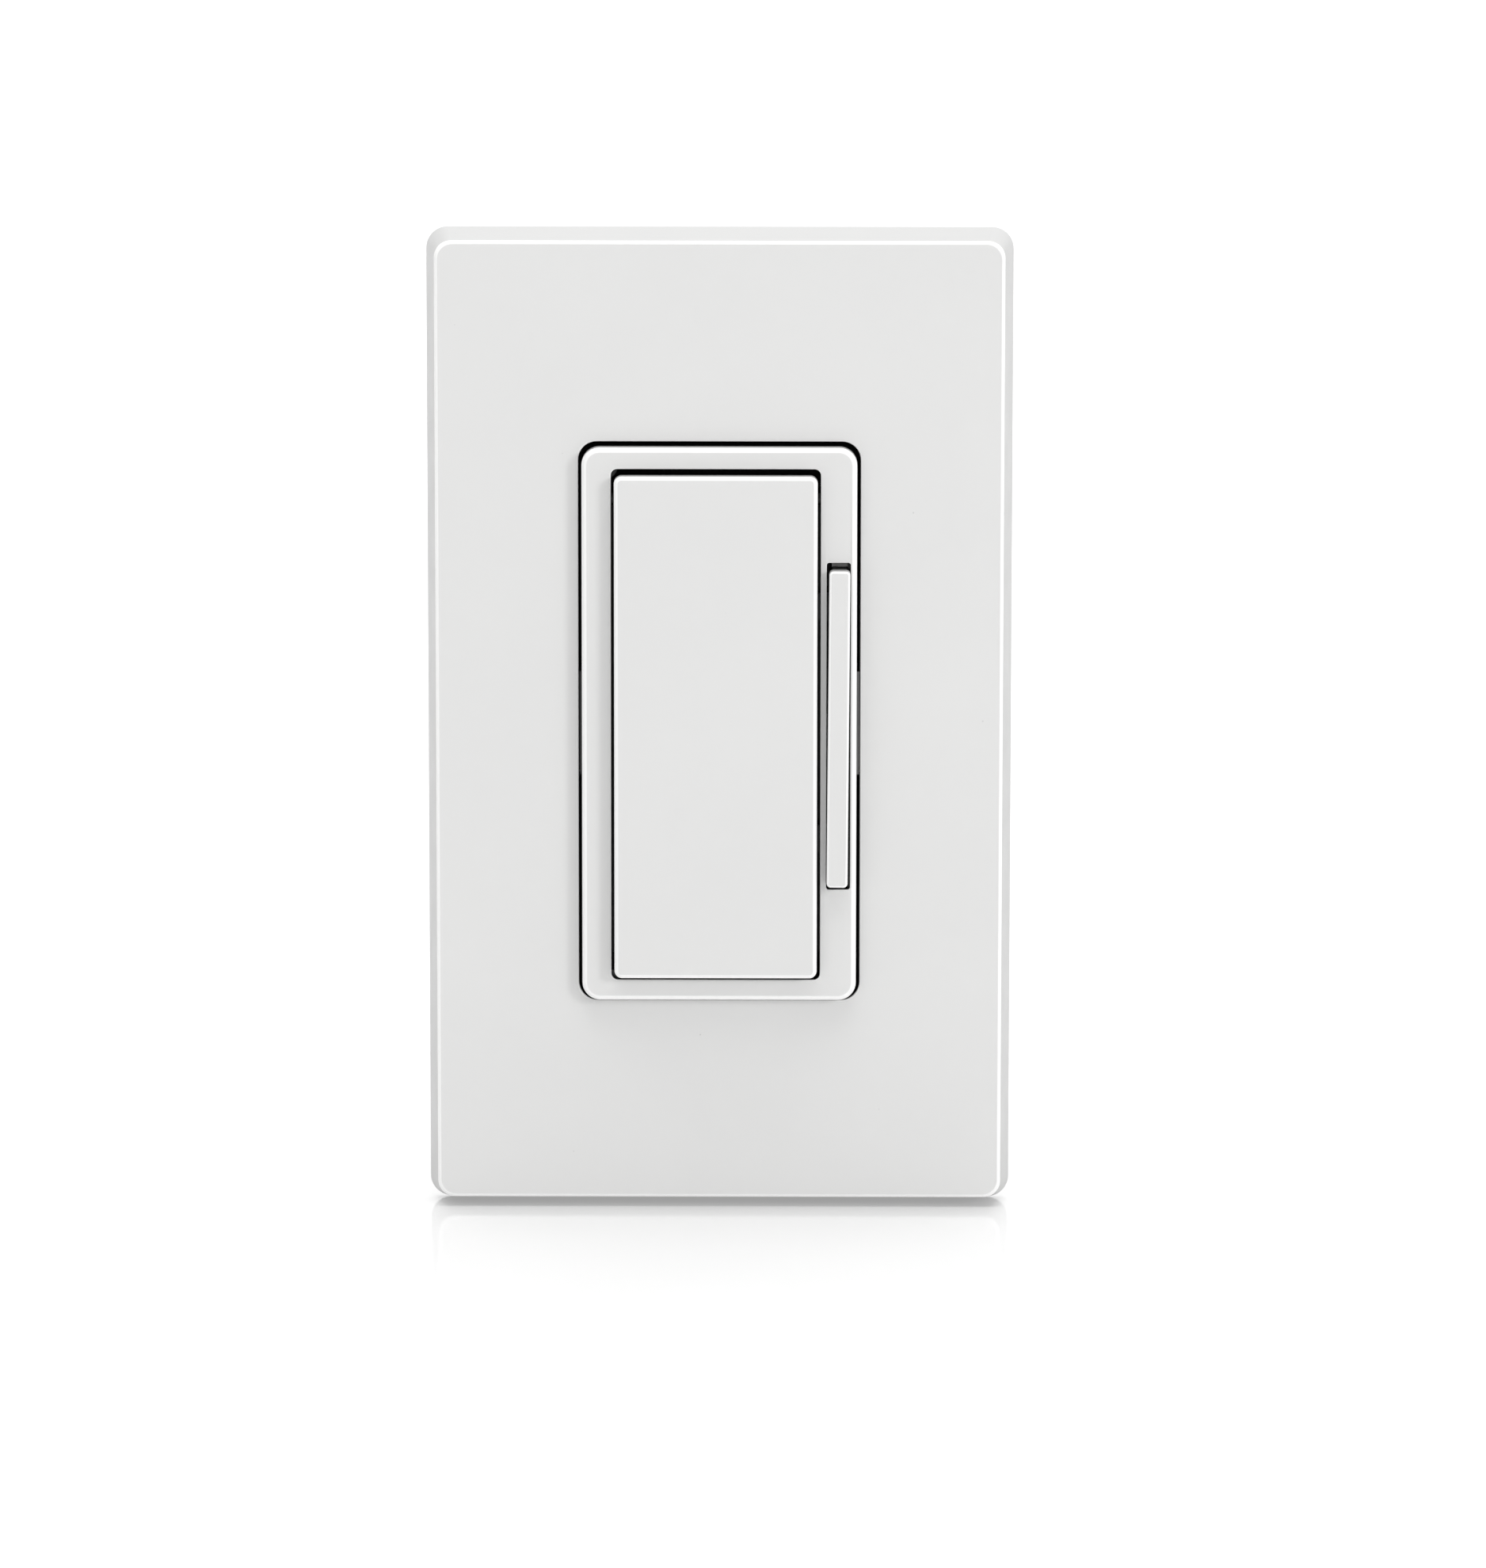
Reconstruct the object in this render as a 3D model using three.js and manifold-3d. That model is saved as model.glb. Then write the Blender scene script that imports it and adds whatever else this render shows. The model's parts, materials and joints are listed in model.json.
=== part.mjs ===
// A wall-box light dimmer: a wide push paddle for on and off, a narrow rocking bar beside it for
// brighter and dimmer, and a screwless wallplate that snaps onto a bracket.
// Millimetres. X is to the right seen from the front, Y goes into the wall and Z is up. The origin
// is on the wall's surface at the middle of the device, so everything in the room has a negative Y.
import * as THREE from "three";
import { mergeVertices } from "three/addons/utils/BufferGeometryUtils.js";
import Module from "manifold-3d";

const wasm = await Module();
wasm.setup();

// ---------------------------------------------------------------- driving dimensions

const seatGap = 0.1; // between pieces that rest on each other
const deg = Math.PI / 180;

const cover = {
  back: { width: 69.9, height: 117.6, radius: 2.6 },
  front: { width: 67.4, height: 115.1, radius: 2.0 },
  opening: { width: 33.5, height: 67.25, radius: 2.2 },
  openingRise: 0.175, // how far the opening's middle is above the device's
  depth: 6.6,
  wall: 1.9,
  edge: 0.4,
  rimWidth: 1.4,
  hook: { length: 7, reach: 31.2, front: -1.45, back: -0.45, heights: [-44, -15, 15, 44] },
};

const bracket = {
  width: 63.8,
  height: 110,
  radius: 2,
  front: -3.25,
  back: -1.65,
  opening: { width: 33.8, height: 67.6, radius: 2.2 },
  window: { width: 8.5, height: 40, radius: 1.5, x: 24.8 },
  boxScrewHole: 4.3,
  plateScrewHole: 1.85,
};

// Device standard: box screws 3.281 in apart and wallplate screws 3.812 in apart.
const boxScrewZ = 83.34 / 2;
const plateScrewZ = 96.82 / 2;

const strap = {
  thickness: 1.6,
  body: { width: 44, height: 71, radius: 1.5 },
  ear: { width: 23.8, height: 106.4, radius: 2.5 },
  groundTab: { left: -21, right: -10, bottom: -42.5, top: -30.5, radius: 1.5 },
  groundScrew: { x: -16.5, z: -38.3 },
  headerWindow: { width: 23, height: 6 },
  legSlot: { inner: 15.3, outer: 17.3, height: 13.2 },
  boxSlot: { width: 6.4, height: 4.4, radius: 2.1 },
  holes: { plateScrew: 1.8, frameScrew: 1.4, triacScrew: 1.5, groundScrew: 2.0 },
};

const frame = {
  outline: { width: 32.7, height: 66.5, radius: 2.15 },
  front: -8.3,
  back: -1.75,
  edge: 0.7,
  faceThickness: 1.5,
  wall: 1.2,
  thinWall: 0.76,
  leg: { height: 12.4, front: -6.0, pad: 0.3, back: 1.9, barb: 0.6 },
  boss: { x: 14, z: 31.2, radius: 2.0, hole: 1.3, holeFront: -5.6 },
  saddle: { x: [[-13.9, -12.9], [12.1, 13.1]], halfHeight: 2.4, back: -3.9 },
  barSaddle: { width: 0.73, halfHeight: 3 },
};

const paddle = {
  x: -0.41,
  outline: { width: 24.13, height: 60.3, radius: 0.9 },
  drop: 0.15, // how far the paddle's middle is below the middle of its opening
  opening: { width: 24.86, height: 61.4, radius: 0.75 },
  front: -10.0,
  skirtBack: -7.4,
  edge: 0.55,
  wall: 1.2,
  faceThickness: 1.4,
  pivot: { y: -5.2, z: 27, radius: 1.0, clearance: 0.1, tips: [-13.8, 13.0] },
  lug: { width: 1.4, halfHeight: 2.1, back: -4.1, inset: 0.2 },
  pusher: { radius: 1.3, ribWidth: 1.2, ribHalfHeight: 5, ribBack: -7.0 },
};

const bar = {
  x: 14.17,
  outline: { width: 2.5, height: 38, radius: 0.5 },
  drop: 0.25, // how far the bar's middle is below its pivot
  slot: { width: 2.84, height: 39.3, radius: 0.3 },
  slotDrop: 0.1,
  front: -10.1,
  back: -5.0,
  edge: 0.3,
  leanDegrees: 0.37, // the bar sits slightly askew in its slot, top to the right
  pivot: { y: -5.4, radius: 0.95, clearance: 0.1, tips: [12.08, 16.25] },
  arm: { x: 9.6, z: 14, width: 3.2, front: -6.0 },
  stop: { width: 1.9, front: -6.2, inner: 17, outer: 20.6 }, // tongues that keep the bar in its slot
};

const controlBoard = { width: 29.6, height: 56.6, front: -3.0, back: -2.05 };
const pushSwitch = { width: 3.6, height: 4.2, body: 1.35, buttonRadius: 1.1, button: 0.45 };
const pusherFront = controlBoard.front - seatGap / 2 - pushSwitch.body - pushSwitch.button - seatGap;
const paddleSwitchZ = -22;

const retainer = { width: 9, height: 8, radius: 0.5, thickness: 0.8, hole: 1.8 };
const sheet = { width: 29.2, height: 56.2, radius: 0.8, front: -1.95, back: -1.7 };
const header = { width: 20.3, thickness: 2.5, z: -18 };
const powerBoard = { width: 39.2, height: 52.4, radius: 1, front: 8.5, back: 10.1 };
const boardTop = powerBoard.back + seatGap; // where the parts on the power board stand
const triac = {
  z: 2,
  width: 10,
  height: 9,
  front: 0.5,
  thickness: 4.4,
  tab: { thickness: 1.3, reach: 6.4, hole: 1.8 },
  leg: { pitch: 2.54, width: 0.8, front: 2.6, thickness: 0.6, drop: 3.2 },
  pad: { width: 12, height: 18.5, radius: 0.6, back: 0.4, z: 5, hole: 1.7 },
  screwZ: 9.8,
};
const choke = { radius: 7.5, post: 3.5, height: 15, flange: 1.8, turns: 8, wire: 0.5 };
const winding = { inner: 3.7, outer: 6.0, bottom: 2.0, top: 13.0 };
const can = { radius: 4.0, height: 13.6, edge: 0.4, groove: 1.8 };
const disc = { radius: 5, thickness: 3.6, rise: 6, leadSpread: 2.5, leadWidth: 0.7 };
const fuseLink = { radius: 1.9, length: 7.5, rise: 2.4, leadWidth: 0.6, leadEnd: 4.7 };

const housing = {
  body: { width: 44, height: 57, radius: 2.2 },
  flange: { width: 44, height: 68.4, radius: 2.2 },
  front: seatGap,
  flangeBack: 6.1,
  back: 30,
  wall: 1.6,
  terminalWindow: 9,
  wireHole: 1.4,
  wireHoleSpread: 2.6,
  labelRecess: { width: 20, height: 36, depth: 0.3 },
};

const terminal = { y: 16, z: 9.6, lugX: 15.4, plate: 1.2, clampX: 17.2, headX: 18.5, tipX: 12.7 };

// ---------------------------------------------------------------- solids

// The closed mesh of a three.js geometry, as a solid that can be cut and joined.
function solid(geometry) {
  const bare = geometry.index ? geometry.toNonIndexed() : geometry.clone();
  bare.deleteAttribute("normal");
  bare.deleteAttribute("uv");
  const merged = mergeVertices(bare, 1e-4);
  return new wasm.Manifold(
    new wasm.Mesh({
      numProp: 3,
      vertProperties: merged.attributes.position.array,
      triVerts: new Uint32Array(merged.index.array),
    }),
  );
}

function geometryOf(body) {
  const { vertProperties, triVerts } = body.getMesh();
  const geometry = new THREE.BufferGeometry();
  geometry.setAttribute("position", new THREE.BufferAttribute(new Float32Array(vertProperties), 3));
  geometry.setIndex(new THREE.BufferAttribute(new Uint32Array(triVerts), 1));
  geometry.computeVertexNormals();
  return geometry;
}

const joined = (first, ...others) => others.reduce((all, one) => all.add(one), first);
const cutBy = (body, ...tools) => tools.reduce((rest, tool) => rest.subtract(tool), body);

// A box between two limits on each axis.
function block([x0, x1], [y0, y1], [z0, z1]) {
  const geometry = new THREE.BoxGeometry(x1 - x0, y1 - y0, z1 - z0);
  geometry.translate((x0 + x1) / 2, (y0 + y1) / 2, (z0 + z1) / 2);
  return solid(geometry);
}

// A round rod along Y.
function rodY(radius, [y0, y1], x = 0, z = 0, sides = 16) {
  const geometry = new THREE.CylinderGeometry(radius, radius, y1 - y0, sides);
  geometry.translate(x, (y0 + y1) / 2, z);
  return solid(geometry);
}

// A round rod along X.
function rodX(radius, [x0, x1], y = 0, z = 0, sides = 16) {
  const geometry = new THREE.CylinderGeometry(radius, radius, x1 - x0, sides);
  geometry.rotateZ(-Math.PI / 2);
  geometry.translate((x0 + x1) / 2, y, z);
  return solid(geometry);
}

// A turned body around Y. The profile is a list of [radius, y] with y growing.
function turned(profile, sides = 14) {
  const points = profile.map(([radius, y]) => new THREE.Vector2(radius, y));
  return solid(new THREE.LatheGeometry(points, sides));
}

// A rounded rectangle in the front view, drawn as a shape whose y is the model's z.
function roundedRect({ width, height, radius }, x = 0, z = 0) {
  const right = x + width / 2 - radius;
  const left = x - width / 2 + radius;
  const top = z + height / 2 - radius;
  const bottom = z - height / 2 + radius;
  const shape = new THREE.Shape();
  shape.absarc(right, bottom, radius, -Math.PI / 2, 0);
  shape.absarc(right, top, radius, 0, Math.PI / 2);
  shape.absarc(left, top, radius, Math.PI / 2, Math.PI);
  shape.absarc(left, bottom, radius, Math.PI, 1.5 * Math.PI);
  return shape;
}

// A front-view shape given thickness from its front to its back.
function plate(shape, [front, back], curveSegments) {
  const depth = back - front;
  const geometry = new THREE.ExtrudeGeometry(shape, { depth, bevelEnabled: false, curveSegments });
  geometry.rotateX(Math.PI / 2);
  geometry.translate(0, back, 0);
  return solid(geometry);
}

const roundedPlate = (outline, span, x = 0, z = 0) =>
  plate(roundedRect(outline, x, z), span, outline.radius < 1.8 ? 2 : 3);

// A body whose rounded-rectangle outline changes from ring to ring, the back one first.
function lofted(rings, x = 0) {
  const first = rings[0];
  const steps = rings.length - 1;
  const shape = roundedRect(first);
  const options = { depth: steps, steps, bevelEnabled: false, curveSegments: 3 };
  const geometry = new THREE.ExtrudeGeometry(shape, options);
  const points = geometry.attributes.position;
  const onRing = (value, size, newSize, radius) => {
    const alongCorner = (Math.abs(value) - size / 2 + first.radius) / first.radius;
    return Math.sign(value) * (newSize / 2 - radius + alongCorner * radius);
  };
  for (let i = 0; i < points.count; i++) {
    const ring = rings[Math.round(points.getZ(i))];
    const newX = onRing(points.getX(i), first.width, ring.width, ring.radius);
    const newZ = onRing(points.getY(i), first.height, ring.height, ring.radius);
    points.setXYZ(i, x + newX, ring.y, newZ);
  }
  return solid(geometry);
}

const inset = ({ width, height, radius }, by) => ({
  width: width - 2 * by,
  height: height - 2 * by,
  radius: Math.max(radius - by, 0.15),
});

// The rings that round the front edge of an outline off.
function roundedEdge(outline, front, radius, steps = 3) {
  const rings = [];
  for (let i = 0; i <= steps; i++) {
    const angle = (i / steps) * 90 * deg;
    const by = radius * (1 - Math.cos(angle));
    rings.push({ ...inset(outline, by), y: front + radius * (1 - Math.sin(angle)) });
  }
  return rings;
}

// A block with a rounded front edge, open or not behind.
const softBlock = (outline, [front, back], edge, x = 0) =>
  lofted([{ ...outline, y: back }, ...roundedEdge(outline, front, edge)], x);

// ---------------------------------------------------------------- materials

const material = (color, roughness, metalness = 0) =>
  new THREE.MeshStandardMaterial({ color, roughness, metalness });

const whitePlastic = () => material(0xf2f2f0, 0.35);
const greyPlastic = () => material(0x3a3b3d, 0.6);
const bluePlastic = () => material(0x25406e, 0.5);
const blackPlastic = () => material(0x1c1c1e, 0.55);
const redPlastic = () => material(0xb5352a, 0.5);
const rubber = () => material(0x2b2b2b, 0.9);
const fibre = () => material(0x6b4a34, 0.85);
const boardGreen = () => material(0x1f6b3a, 0.5);
const insulator = () => material(0xe8e2cf, 0.6);
const aluminium = () => material(0xc3c6c9, 0.4, 1);
const zincSteel = () => material(0xb9bcc0, 0.35, 1);
const brass = () => material(0xc9a14a, 0.35, 1);
const copperWire = () => material(0xb3622f, 0.4, 1);
const ferrite = () => material(0x2f3033, 0.75);
const greenSteel = () => material(0x2f8f4e, 0.4, 1);

const object = new THREE.Group();

function place(name, body, finish, parent = object) {
  const mesh = new THREE.Mesh(geometryOf(body), finish);
  mesh.name = name;
  parent.add(mesh);
  return mesh;
}

// ---------------------------------------------------------------- wallplate

// One snap hook on the inside of the cover's side wall, which catches behind the bracket's edge.
function coverHook(side, z) {
  const { length, reach, front, back } = cover.hook;
  const wall = cover.back.width / 2 - cover.wall / 2;
  const x = side > 0 ? [reach, wall] : [-wall, -reach];
  return block(x, [front, back], [z - length / 2, z + length / 2]);
}

function coverBody() {
  const front = -cover.depth;
  const inside = (outline, y) => ({ ...inset(outline, cover.wall), y });
  const backRing = { ...cover.back, y: 0 };
  const outer = lofted([backRing, ...roundedEdge(cover.front, front, cover.edge)]);
  const hollow = lofted([inside(cover.back, 0.01), inside(cover.front, front + cover.wall)]);
  const rimOutline = inset(cover.opening, -cover.rimWidth);
  const rimSpan = [front + cover.wall / 2, bracket.front - seatGap];
  const rim = roundedPlate(rimOutline, rimSpan, 0, cover.openingRise);
  const opening = roundedPlate(cover.opening, [front - 1, 1], 0, cover.openingRise);
  const hooks = cover.hook.heights.flatMap((z) => [coverHook(1, z), coverHook(-1, z)]);
  return cutBy(joined(cutBy(outer, hollow), rim, ...hooks), opening);
}

function bracketBody() {
  const { width, height, radius, front, back, window: side } = bracket;
  const through = [front - 1, back + 1];
  const cuts = [1, -1].flatMap((end) => [
    roundedPlate(side, through, end * side.x),
    rodY(bracket.boxScrewHole, through, 0, end * boxScrewZ),
    rodY(bracket.plateScrewHole, through, 0, end * plateScrewZ),
  ]);
  return cutBy(
    roundedPlate({ width, height, radius }, [front, back]),
    roundedPlate(bracket.opening, through),
    ...cuts,
  );
}

// ---------------------------------------------------------------- screws

// A screw along Y with its head towards the room: a domed head with a straight slot.
function slottedScrew({ headRadius, headHeight, shankRadius, length }) {
  const rim = headHeight * 0.45;
  const body = turned([
    [0, -headHeight],
    [headRadius * 0.5, -headHeight * 0.96],
    [headRadius * 0.82, -headHeight * 0.8],
    [headRadius, -rim],
    [headRadius, 0],
    [shankRadius, 0],
    [shankRadius, length - shankRadius * 0.5],
    [shankRadius * 0.6, length],
    [0, length],
  ]);
  const slotDepth = headHeight * 0.5;
  const halfSlot = headRadius * 0.14;
  const slot = block(
    [-headRadius * 2, headRadius * 2],
    [-headHeight * 2, -headHeight + slotDepth],
    [-halfSlot, halfSlot],
  );
  return body.subtract(slot);
}

const boxScrew = { headRadius: 3.4, headHeight: 1.9, shankRadius: 1.7, length: 19 };
const plateScrew = { headRadius: 3.1, headHeight: 1.1, shankRadius: 1.7, length: 6.5 };
const housingScrew = { headRadius: 2.5, headHeight: 1.7, shankRadius: 1.2, length: 10.6 };
const triacScrew = { headRadius: 2.7, headHeight: 1.8, shankRadius: 1.4, length: 2.9 };
const terminalScrew = { headRadius: 3.4, headHeight: 1.9, shankRadius: 1.8 };
const groundScrew = { headRadius: 3.5, headHeight: 2.0, shankRadius: 1.9, length: 1.6 };

// ---------------------------------------------------------------- strap

function strapBody() {
  const span = [-strap.thickness, 0];
  const through = [-strap.thickness - 1, 1];
  const { left, right, bottom, top, radius } = strap.groundTab;
  const tab = { width: right - left, height: top - bottom, radius };
  const { inner, outer, height } = strap.legSlot;
  const { holes } = strap;
  const legSlots = [1, -1].map((side) =>
    roundedPlate(
      { width: outer - inner, height, radius: 0.4 },
      through,
      (side * (inner + outer)) / 2,
    ),
  );
  const boxSlots = [1, -1].map((end) =>
    roundedPlate(strap.boxSlot, through, 0, end * boxScrewZ),
  );
  const plateHoles = [1, -1].map((end) => rodY(holes.plateScrew, through, 0, end * plateScrewZ));
  const frameHoles = bossPlaces.map(([x, z]) => rodY(holes.frameScrew, through, x, z, 12));
  return cutBy(
    joined(
      roundedPlate(strap.body, span),
      roundedPlate(strap.ear, span),
      roundedPlate(tab, span, (left + right) / 2, bottom + tab.height / 2),
    ),
    roundedPlate({ ...strap.headerWindow, radius: 1 }, through, 0, header.z),
    ...legSlots,
    ...boxSlots,
    ...plateHoles,
    ...frameHoles,
    rodY(holes.triacScrew, through, 0, triac.screwZ, 12),
    rodY(holes.groundScrew, through, strap.groundScrew.x, strap.groundScrew.z),
  );
}

// The fibre square that keeps a box screw in its slot.
function screwRetainer() {
  const { thickness, hole } = retainer;
  return cutBy(roundedPlate(retainer, [seatGap, seatGap + thickness]), rodY(hole, [-1, 2]));
}

// ---------------------------------------------------------------- frame, paddle and bar

const bossPlaces = [1, -1].flatMap((sideX) =>
  [1, -1].map((sideZ) => [sideX * frame.boss.x, sideZ * frame.boss.z]),
);

// A round seat for a pivot stub, open towards the wall so that the stub drops in from behind.
function openSeat(radius, [x0, x1], y, z, back) {
  const mouth = block([x0, x1], [y, back], [z - radius, z + radius]);
  return joined(rodX(radius, [x0, x1], y, z), mouth);
}

// The snap leg at the middle of one side: it runs back through the strap and hooks behind it.
function snapLeg(side) {
  const { height, front, pad, back, barb } = frame.leg;
  const face = frame.outline.width / 2;
  const halfHeight = height / 2;
  const at = (near, far) => (side > 0 ? [near, far] : [-far, -near]);
  const tall = [-halfHeight, halfHeight];
  const stem = block(at(face - frame.thinWall, face + pad), [front, back], tall);
  const hook = block(at(face, face + pad + barb), [seatGap, back], tall);
  return joined(stem, hook);
}

function frameBody() {
  const { outline, front, back, wall, thinWall, edge } = frame;
  const faceBack = front + frame.faceThickness;
  const hollowOutline = {
    width: outline.width - wall - thinWall,
    height: outline.height - 2 * wall,
    radius: 1,
  };
  const hollow = roundedPlate(hollowOutline, [faceBack, back + 1], (wall - thinWall) / 2);

  const { saddle, barSaddle, boss } = frame;
  const root = faceBack - frame.faceThickness / 3; // inside the face, so that what stands on it joins
  const slotLeft = bar.x - bar.slot.width / 2;
  const barSaddleX = [slotLeft - barSaddle.width, slotLeft];
  const saddleZ = [paddle.pivot.z - saddle.halfHeight, paddle.pivot.z + saddle.halfHeight];
  const saddles = [
    ...saddle.x.map((x) => block(x, [root, saddle.back], saddleZ)),
    block(barSaddleX, [root, saddle.back], [-barSaddle.halfHeight, barSaddle.halfHeight]),
  ];
  const bosses = bossPlaces.map(([x, z]) => rodY(boss.radius, [root, back], x, z));

  const paddleSeatRadius = paddle.pivot.radius + paddle.pivot.clearance;
  const barSeatRadius = bar.pivot.radius + bar.pivot.clearance;
  const paddleSeats = saddle.x.map(([x0, x1]) =>
    openSeat(paddleSeatRadius, [x0 - seatGap, x1 + seatGap], paddle.pivot.y, paddle.pivot.z, back),
  );
  const barSeatX = [barSaddleX[0] - seatGap, outline.width / 2];
  const barSeat = openSeat(barSeatRadius, barSeatX, bar.pivot.y, 0, frame.leg.back + 1);
  const screwHoles = bossPlaces.map(([x, z]) => rodY(boss.hole, [boss.holeFront, 1], x, z, 12));

  return cutBy(
    joined(
      cutBy(softBlock(outline, [front, back], edge), hollow),
      snapLeg(1),
      snapLeg(-1),
      ...saddles,
      ...bosses,
    ),
    roundedPlate(paddle.opening, [front - 1, faceBack + seatGap], paddle.x),
    roundedPlate(bar.slot, [front - 1, faceBack + seatGap], bar.x, -bar.slotDrop),
    ...paddleSeats,
    barSeat,
    ...screwHoles,
  );
}

function paddleBody() {
  const { x, outline, drop, front, skirtBack, wall, pivot, lug, pusher } = paddle;
  const faceBack = front + paddle.faceThickness;
  const root = faceBack - paddle.faceThickness / 4; // inside the face, so that what stands on it joins
  const shell = cutBy(
    softBlock(outline, [front, skirtBack], paddle.edge, x),
    roundedPlate(inset(outline, wall), [faceBack, skirtBack + 1], x),
  ).translate([0, 0, -drop]);
  const lugZ = [pivot.z - lug.halfHeight, pivot.z + lug.halfHeight];
  const left = x - outline.width / 2 + lug.inset;
  const right = x + outline.width / 2 - lug.inset;
  const ribX = [x - pusher.ribWidth / 2, x + pusher.ribWidth / 2];
  const ribZ = [paddleSwitchZ - pusher.ribHalfHeight, paddleSwitchZ + pusher.ribHalfHeight];
  return joined(
    shell,
    block([left, left + lug.width], [root, lug.back], lugZ),
    block([right - lug.width, right], [root, lug.back], lugZ),
    rodX(pivot.radius, [pivot.tips[0], left + lug.width / 2], pivot.y, pivot.z),
    rodX(pivot.radius, [right - lug.width / 2, pivot.tips[1]], pivot.y, pivot.z),
    rodY(pusher.radius, [root, pusherFront], x, paddleSwitchZ),
    block(ribX, [root, pusher.ribBack], ribZ),
  );
}

function barBody() {
  const { x, outline, drop, front, back, edge, leanDegrees, pivot, arm, stop } = bar;
  const rib = softBlock(outline, [front, back], edge).translate([0, 0, -drop]);
  const atEnds = (make) => [1, -1].map(make);
  const stops = atEnds((end) => {
    const span = end > 0 ? [stop.inner, stop.outer] : [-stop.outer, -stop.inner];
    return block([-stop.width / 2, stop.width / 2], [stop.front, back], span);
  });
  const leaning = joined(rib, ...stops).rotate([0, leanDegrees, 0]).translate([x, 0, 0]);
  const arms = atEnds((end) =>
    block(
      [arm.x - arm.width / 2, x],
      [arm.front, pusherFront],
      [end * arm.z - arm.width / 2, end * arm.z + arm.width / 2],
    ),
  );
  return joined(leaning, ...arms, rodX(pivot.radius, pivot.tips, pivot.y, 0));
}

// ---------------------------------------------------------------- control board

function controlBoardBody() {
  const { width, height, front, back } = controlBoard;
  return roundedPlate({ width, height, radius: 0.8 }, [front, back]);
}

function insulatingSheet() {
  const window = { width: header.width + 1, height: header.thickness + 1, radius: 0.4 };
  return cutBy(
    roundedPlate(sheet, [sheet.front, sheet.back]),
    roundedPlate(window, [sheet.front - 1, 0], 0, header.z),
  );
}

// A low push switch on the control board: a moulded body and the soft button that it carries.
function addSwitch(name, x, z) {
  const back = controlBoard.front - seatGap / 2;
  const front = back - pushSwitch.body;
  const outline = { width: pushSwitch.width, height: pushSwitch.height, radius: 0.4 };
  const body = place(name, roundedPlate(outline, [front, back]), blackPlastic());
  body.position.set(x, 0, z);
  const tip = front - seatGap / 2 - pushSwitch.button;
  const capsule = turned([
    [0, tip],
    [pushSwitch.buttonRadius * 0.8, tip],
    [pushSwitch.buttonRadius, tip + 0.15],
    [pushSwitch.buttonRadius, front - seatGap / 2],
    [0, front - seatGap / 2],
  ]);
  const button = place(`${name}_button`, capsule, rubber());
  button.position.set(x, 0, z);
}

const controllerChip = () =>
  roundedPlate({ width: 7, height: 7, radius: 0.3 }, [-4.0, controlBoard.front - seatGap / 2]);

const boardHeader = () =>
  block(
    [-header.width / 2, header.width / 2],
    [controlBoard.back + seatGap, powerBoard.front - seatGap],
    [header.z - header.thickness / 2, header.z + header.thickness / 2],
  );

// ---------------------------------------------------------------- power board and its parts

const powerBoardBody = () => roundedPlate(powerBoard, [powerBoard.front, powerBoard.back]);

// A triac in its tabbed case, flat against the strap, with three legs bent back to the board.
function triacBody() {
  const { z, width, height, front, thickness, tab, leg, screwZ } = triac;
  const across = [-width / 2, width / 2];
  const legBack = leg.front + leg.thickness;
  const end = z - height / 2 - leg.drop;
  const legs = [-leg.pitch, 0, leg.pitch].flatMap((x) => {
    const wide = [x - leg.width / 2, x + leg.width / 2];
    return [
      block(wide, [leg.front, legBack], [end, z]),
      block(wide, [leg.front, powerBoard.front - seatGap], [end, end + leg.width]),
    ];
  });
  return cutBy(
    joined(
      block(across, [front, front + thickness], [z - height / 2, z + height / 2]),
      block(across, [front, front + tab.thickness], [z, z + height / 2 + tab.reach]),
      ...legs,
    ),
    rodY(tab.hole, [-1, 3], 0, screwZ),
  );
}

const triacPad = () =>
  cutBy(
    roundedPlate(triac.pad, [seatGap, triac.pad.back], 0, triac.pad.z),
    rodY(triac.pad.hole, [-1, 1], 0, triac.screwZ, 12),
  );

// A ferrite drum: two flanges on a post, standing on the board.
function chokeCore() {
  const { radius, post, height, flange } = choke;
  return turned([
    [0, 0],
    [radius, 0],
    [radius, flange],
    [post, flange],
    [post, height - flange],
    [radius, height - flange],
    [radius, height],
    [0, height],
  ]);
}

// The wire on the drum: a closed ring whose outside follows the rounds of the top layer.
function chokeWinding() {
  const { inner, outer, bottom, top } = winding;
  const pitch = (top - bottom) / choke.turns;
  const outside = [];
  for (let i = 0; i < choke.turns; i++) {
    outside.push([outer, bottom + i * pitch]);
    outside.push([outer + choke.wire, bottom + (i + 0.5) * pitch]);
  }
  return turned([[inner, bottom], ...outside, [outer, top], [inner, top], [inner, bottom]]);
}

// A round capacitor can with the groove that crimps its seal.
function bulkCapacitor() {
  const { radius, height, edge, groove } = can;
  const neck = radius - edge * 0.75;
  return turned([
    [0, 0],
    [neck, 0],
    [radius, edge],
    [radius, groove - edge],
    [neck, groove],
    [radius, groove + edge],
    [radius, height - edge],
    [neck, height],
    [0, height],
  ]);
}

const filmCapacitor = () => softBlockBack({ width: 18, height: 8.5, radius: 0.6 }, 14.5, 0.6);

// A block standing on the board whose far edge is rounded off.
function softBlockBack(outline, height, edge) {
  const far = inset(outline, edge);
  return lofted([
    { ...far, y: height },
    { ...outline, y: height - edge },
    { ...outline, y: 0 },
  ]);
}

function varistor() {
  const { radius, thickness, rise, leadSpread, leadWidth } = disc;
  const half = leadWidth / 2;
  const leads = [-leadSpread, leadSpread].map((z) =>
    block([-half, half], [0, radius], [z - half, z + half]),
  );
  return joined(rodX(radius, [-thickness / 2, thickness / 2], rise, 0, 24), ...leads);
}

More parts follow.
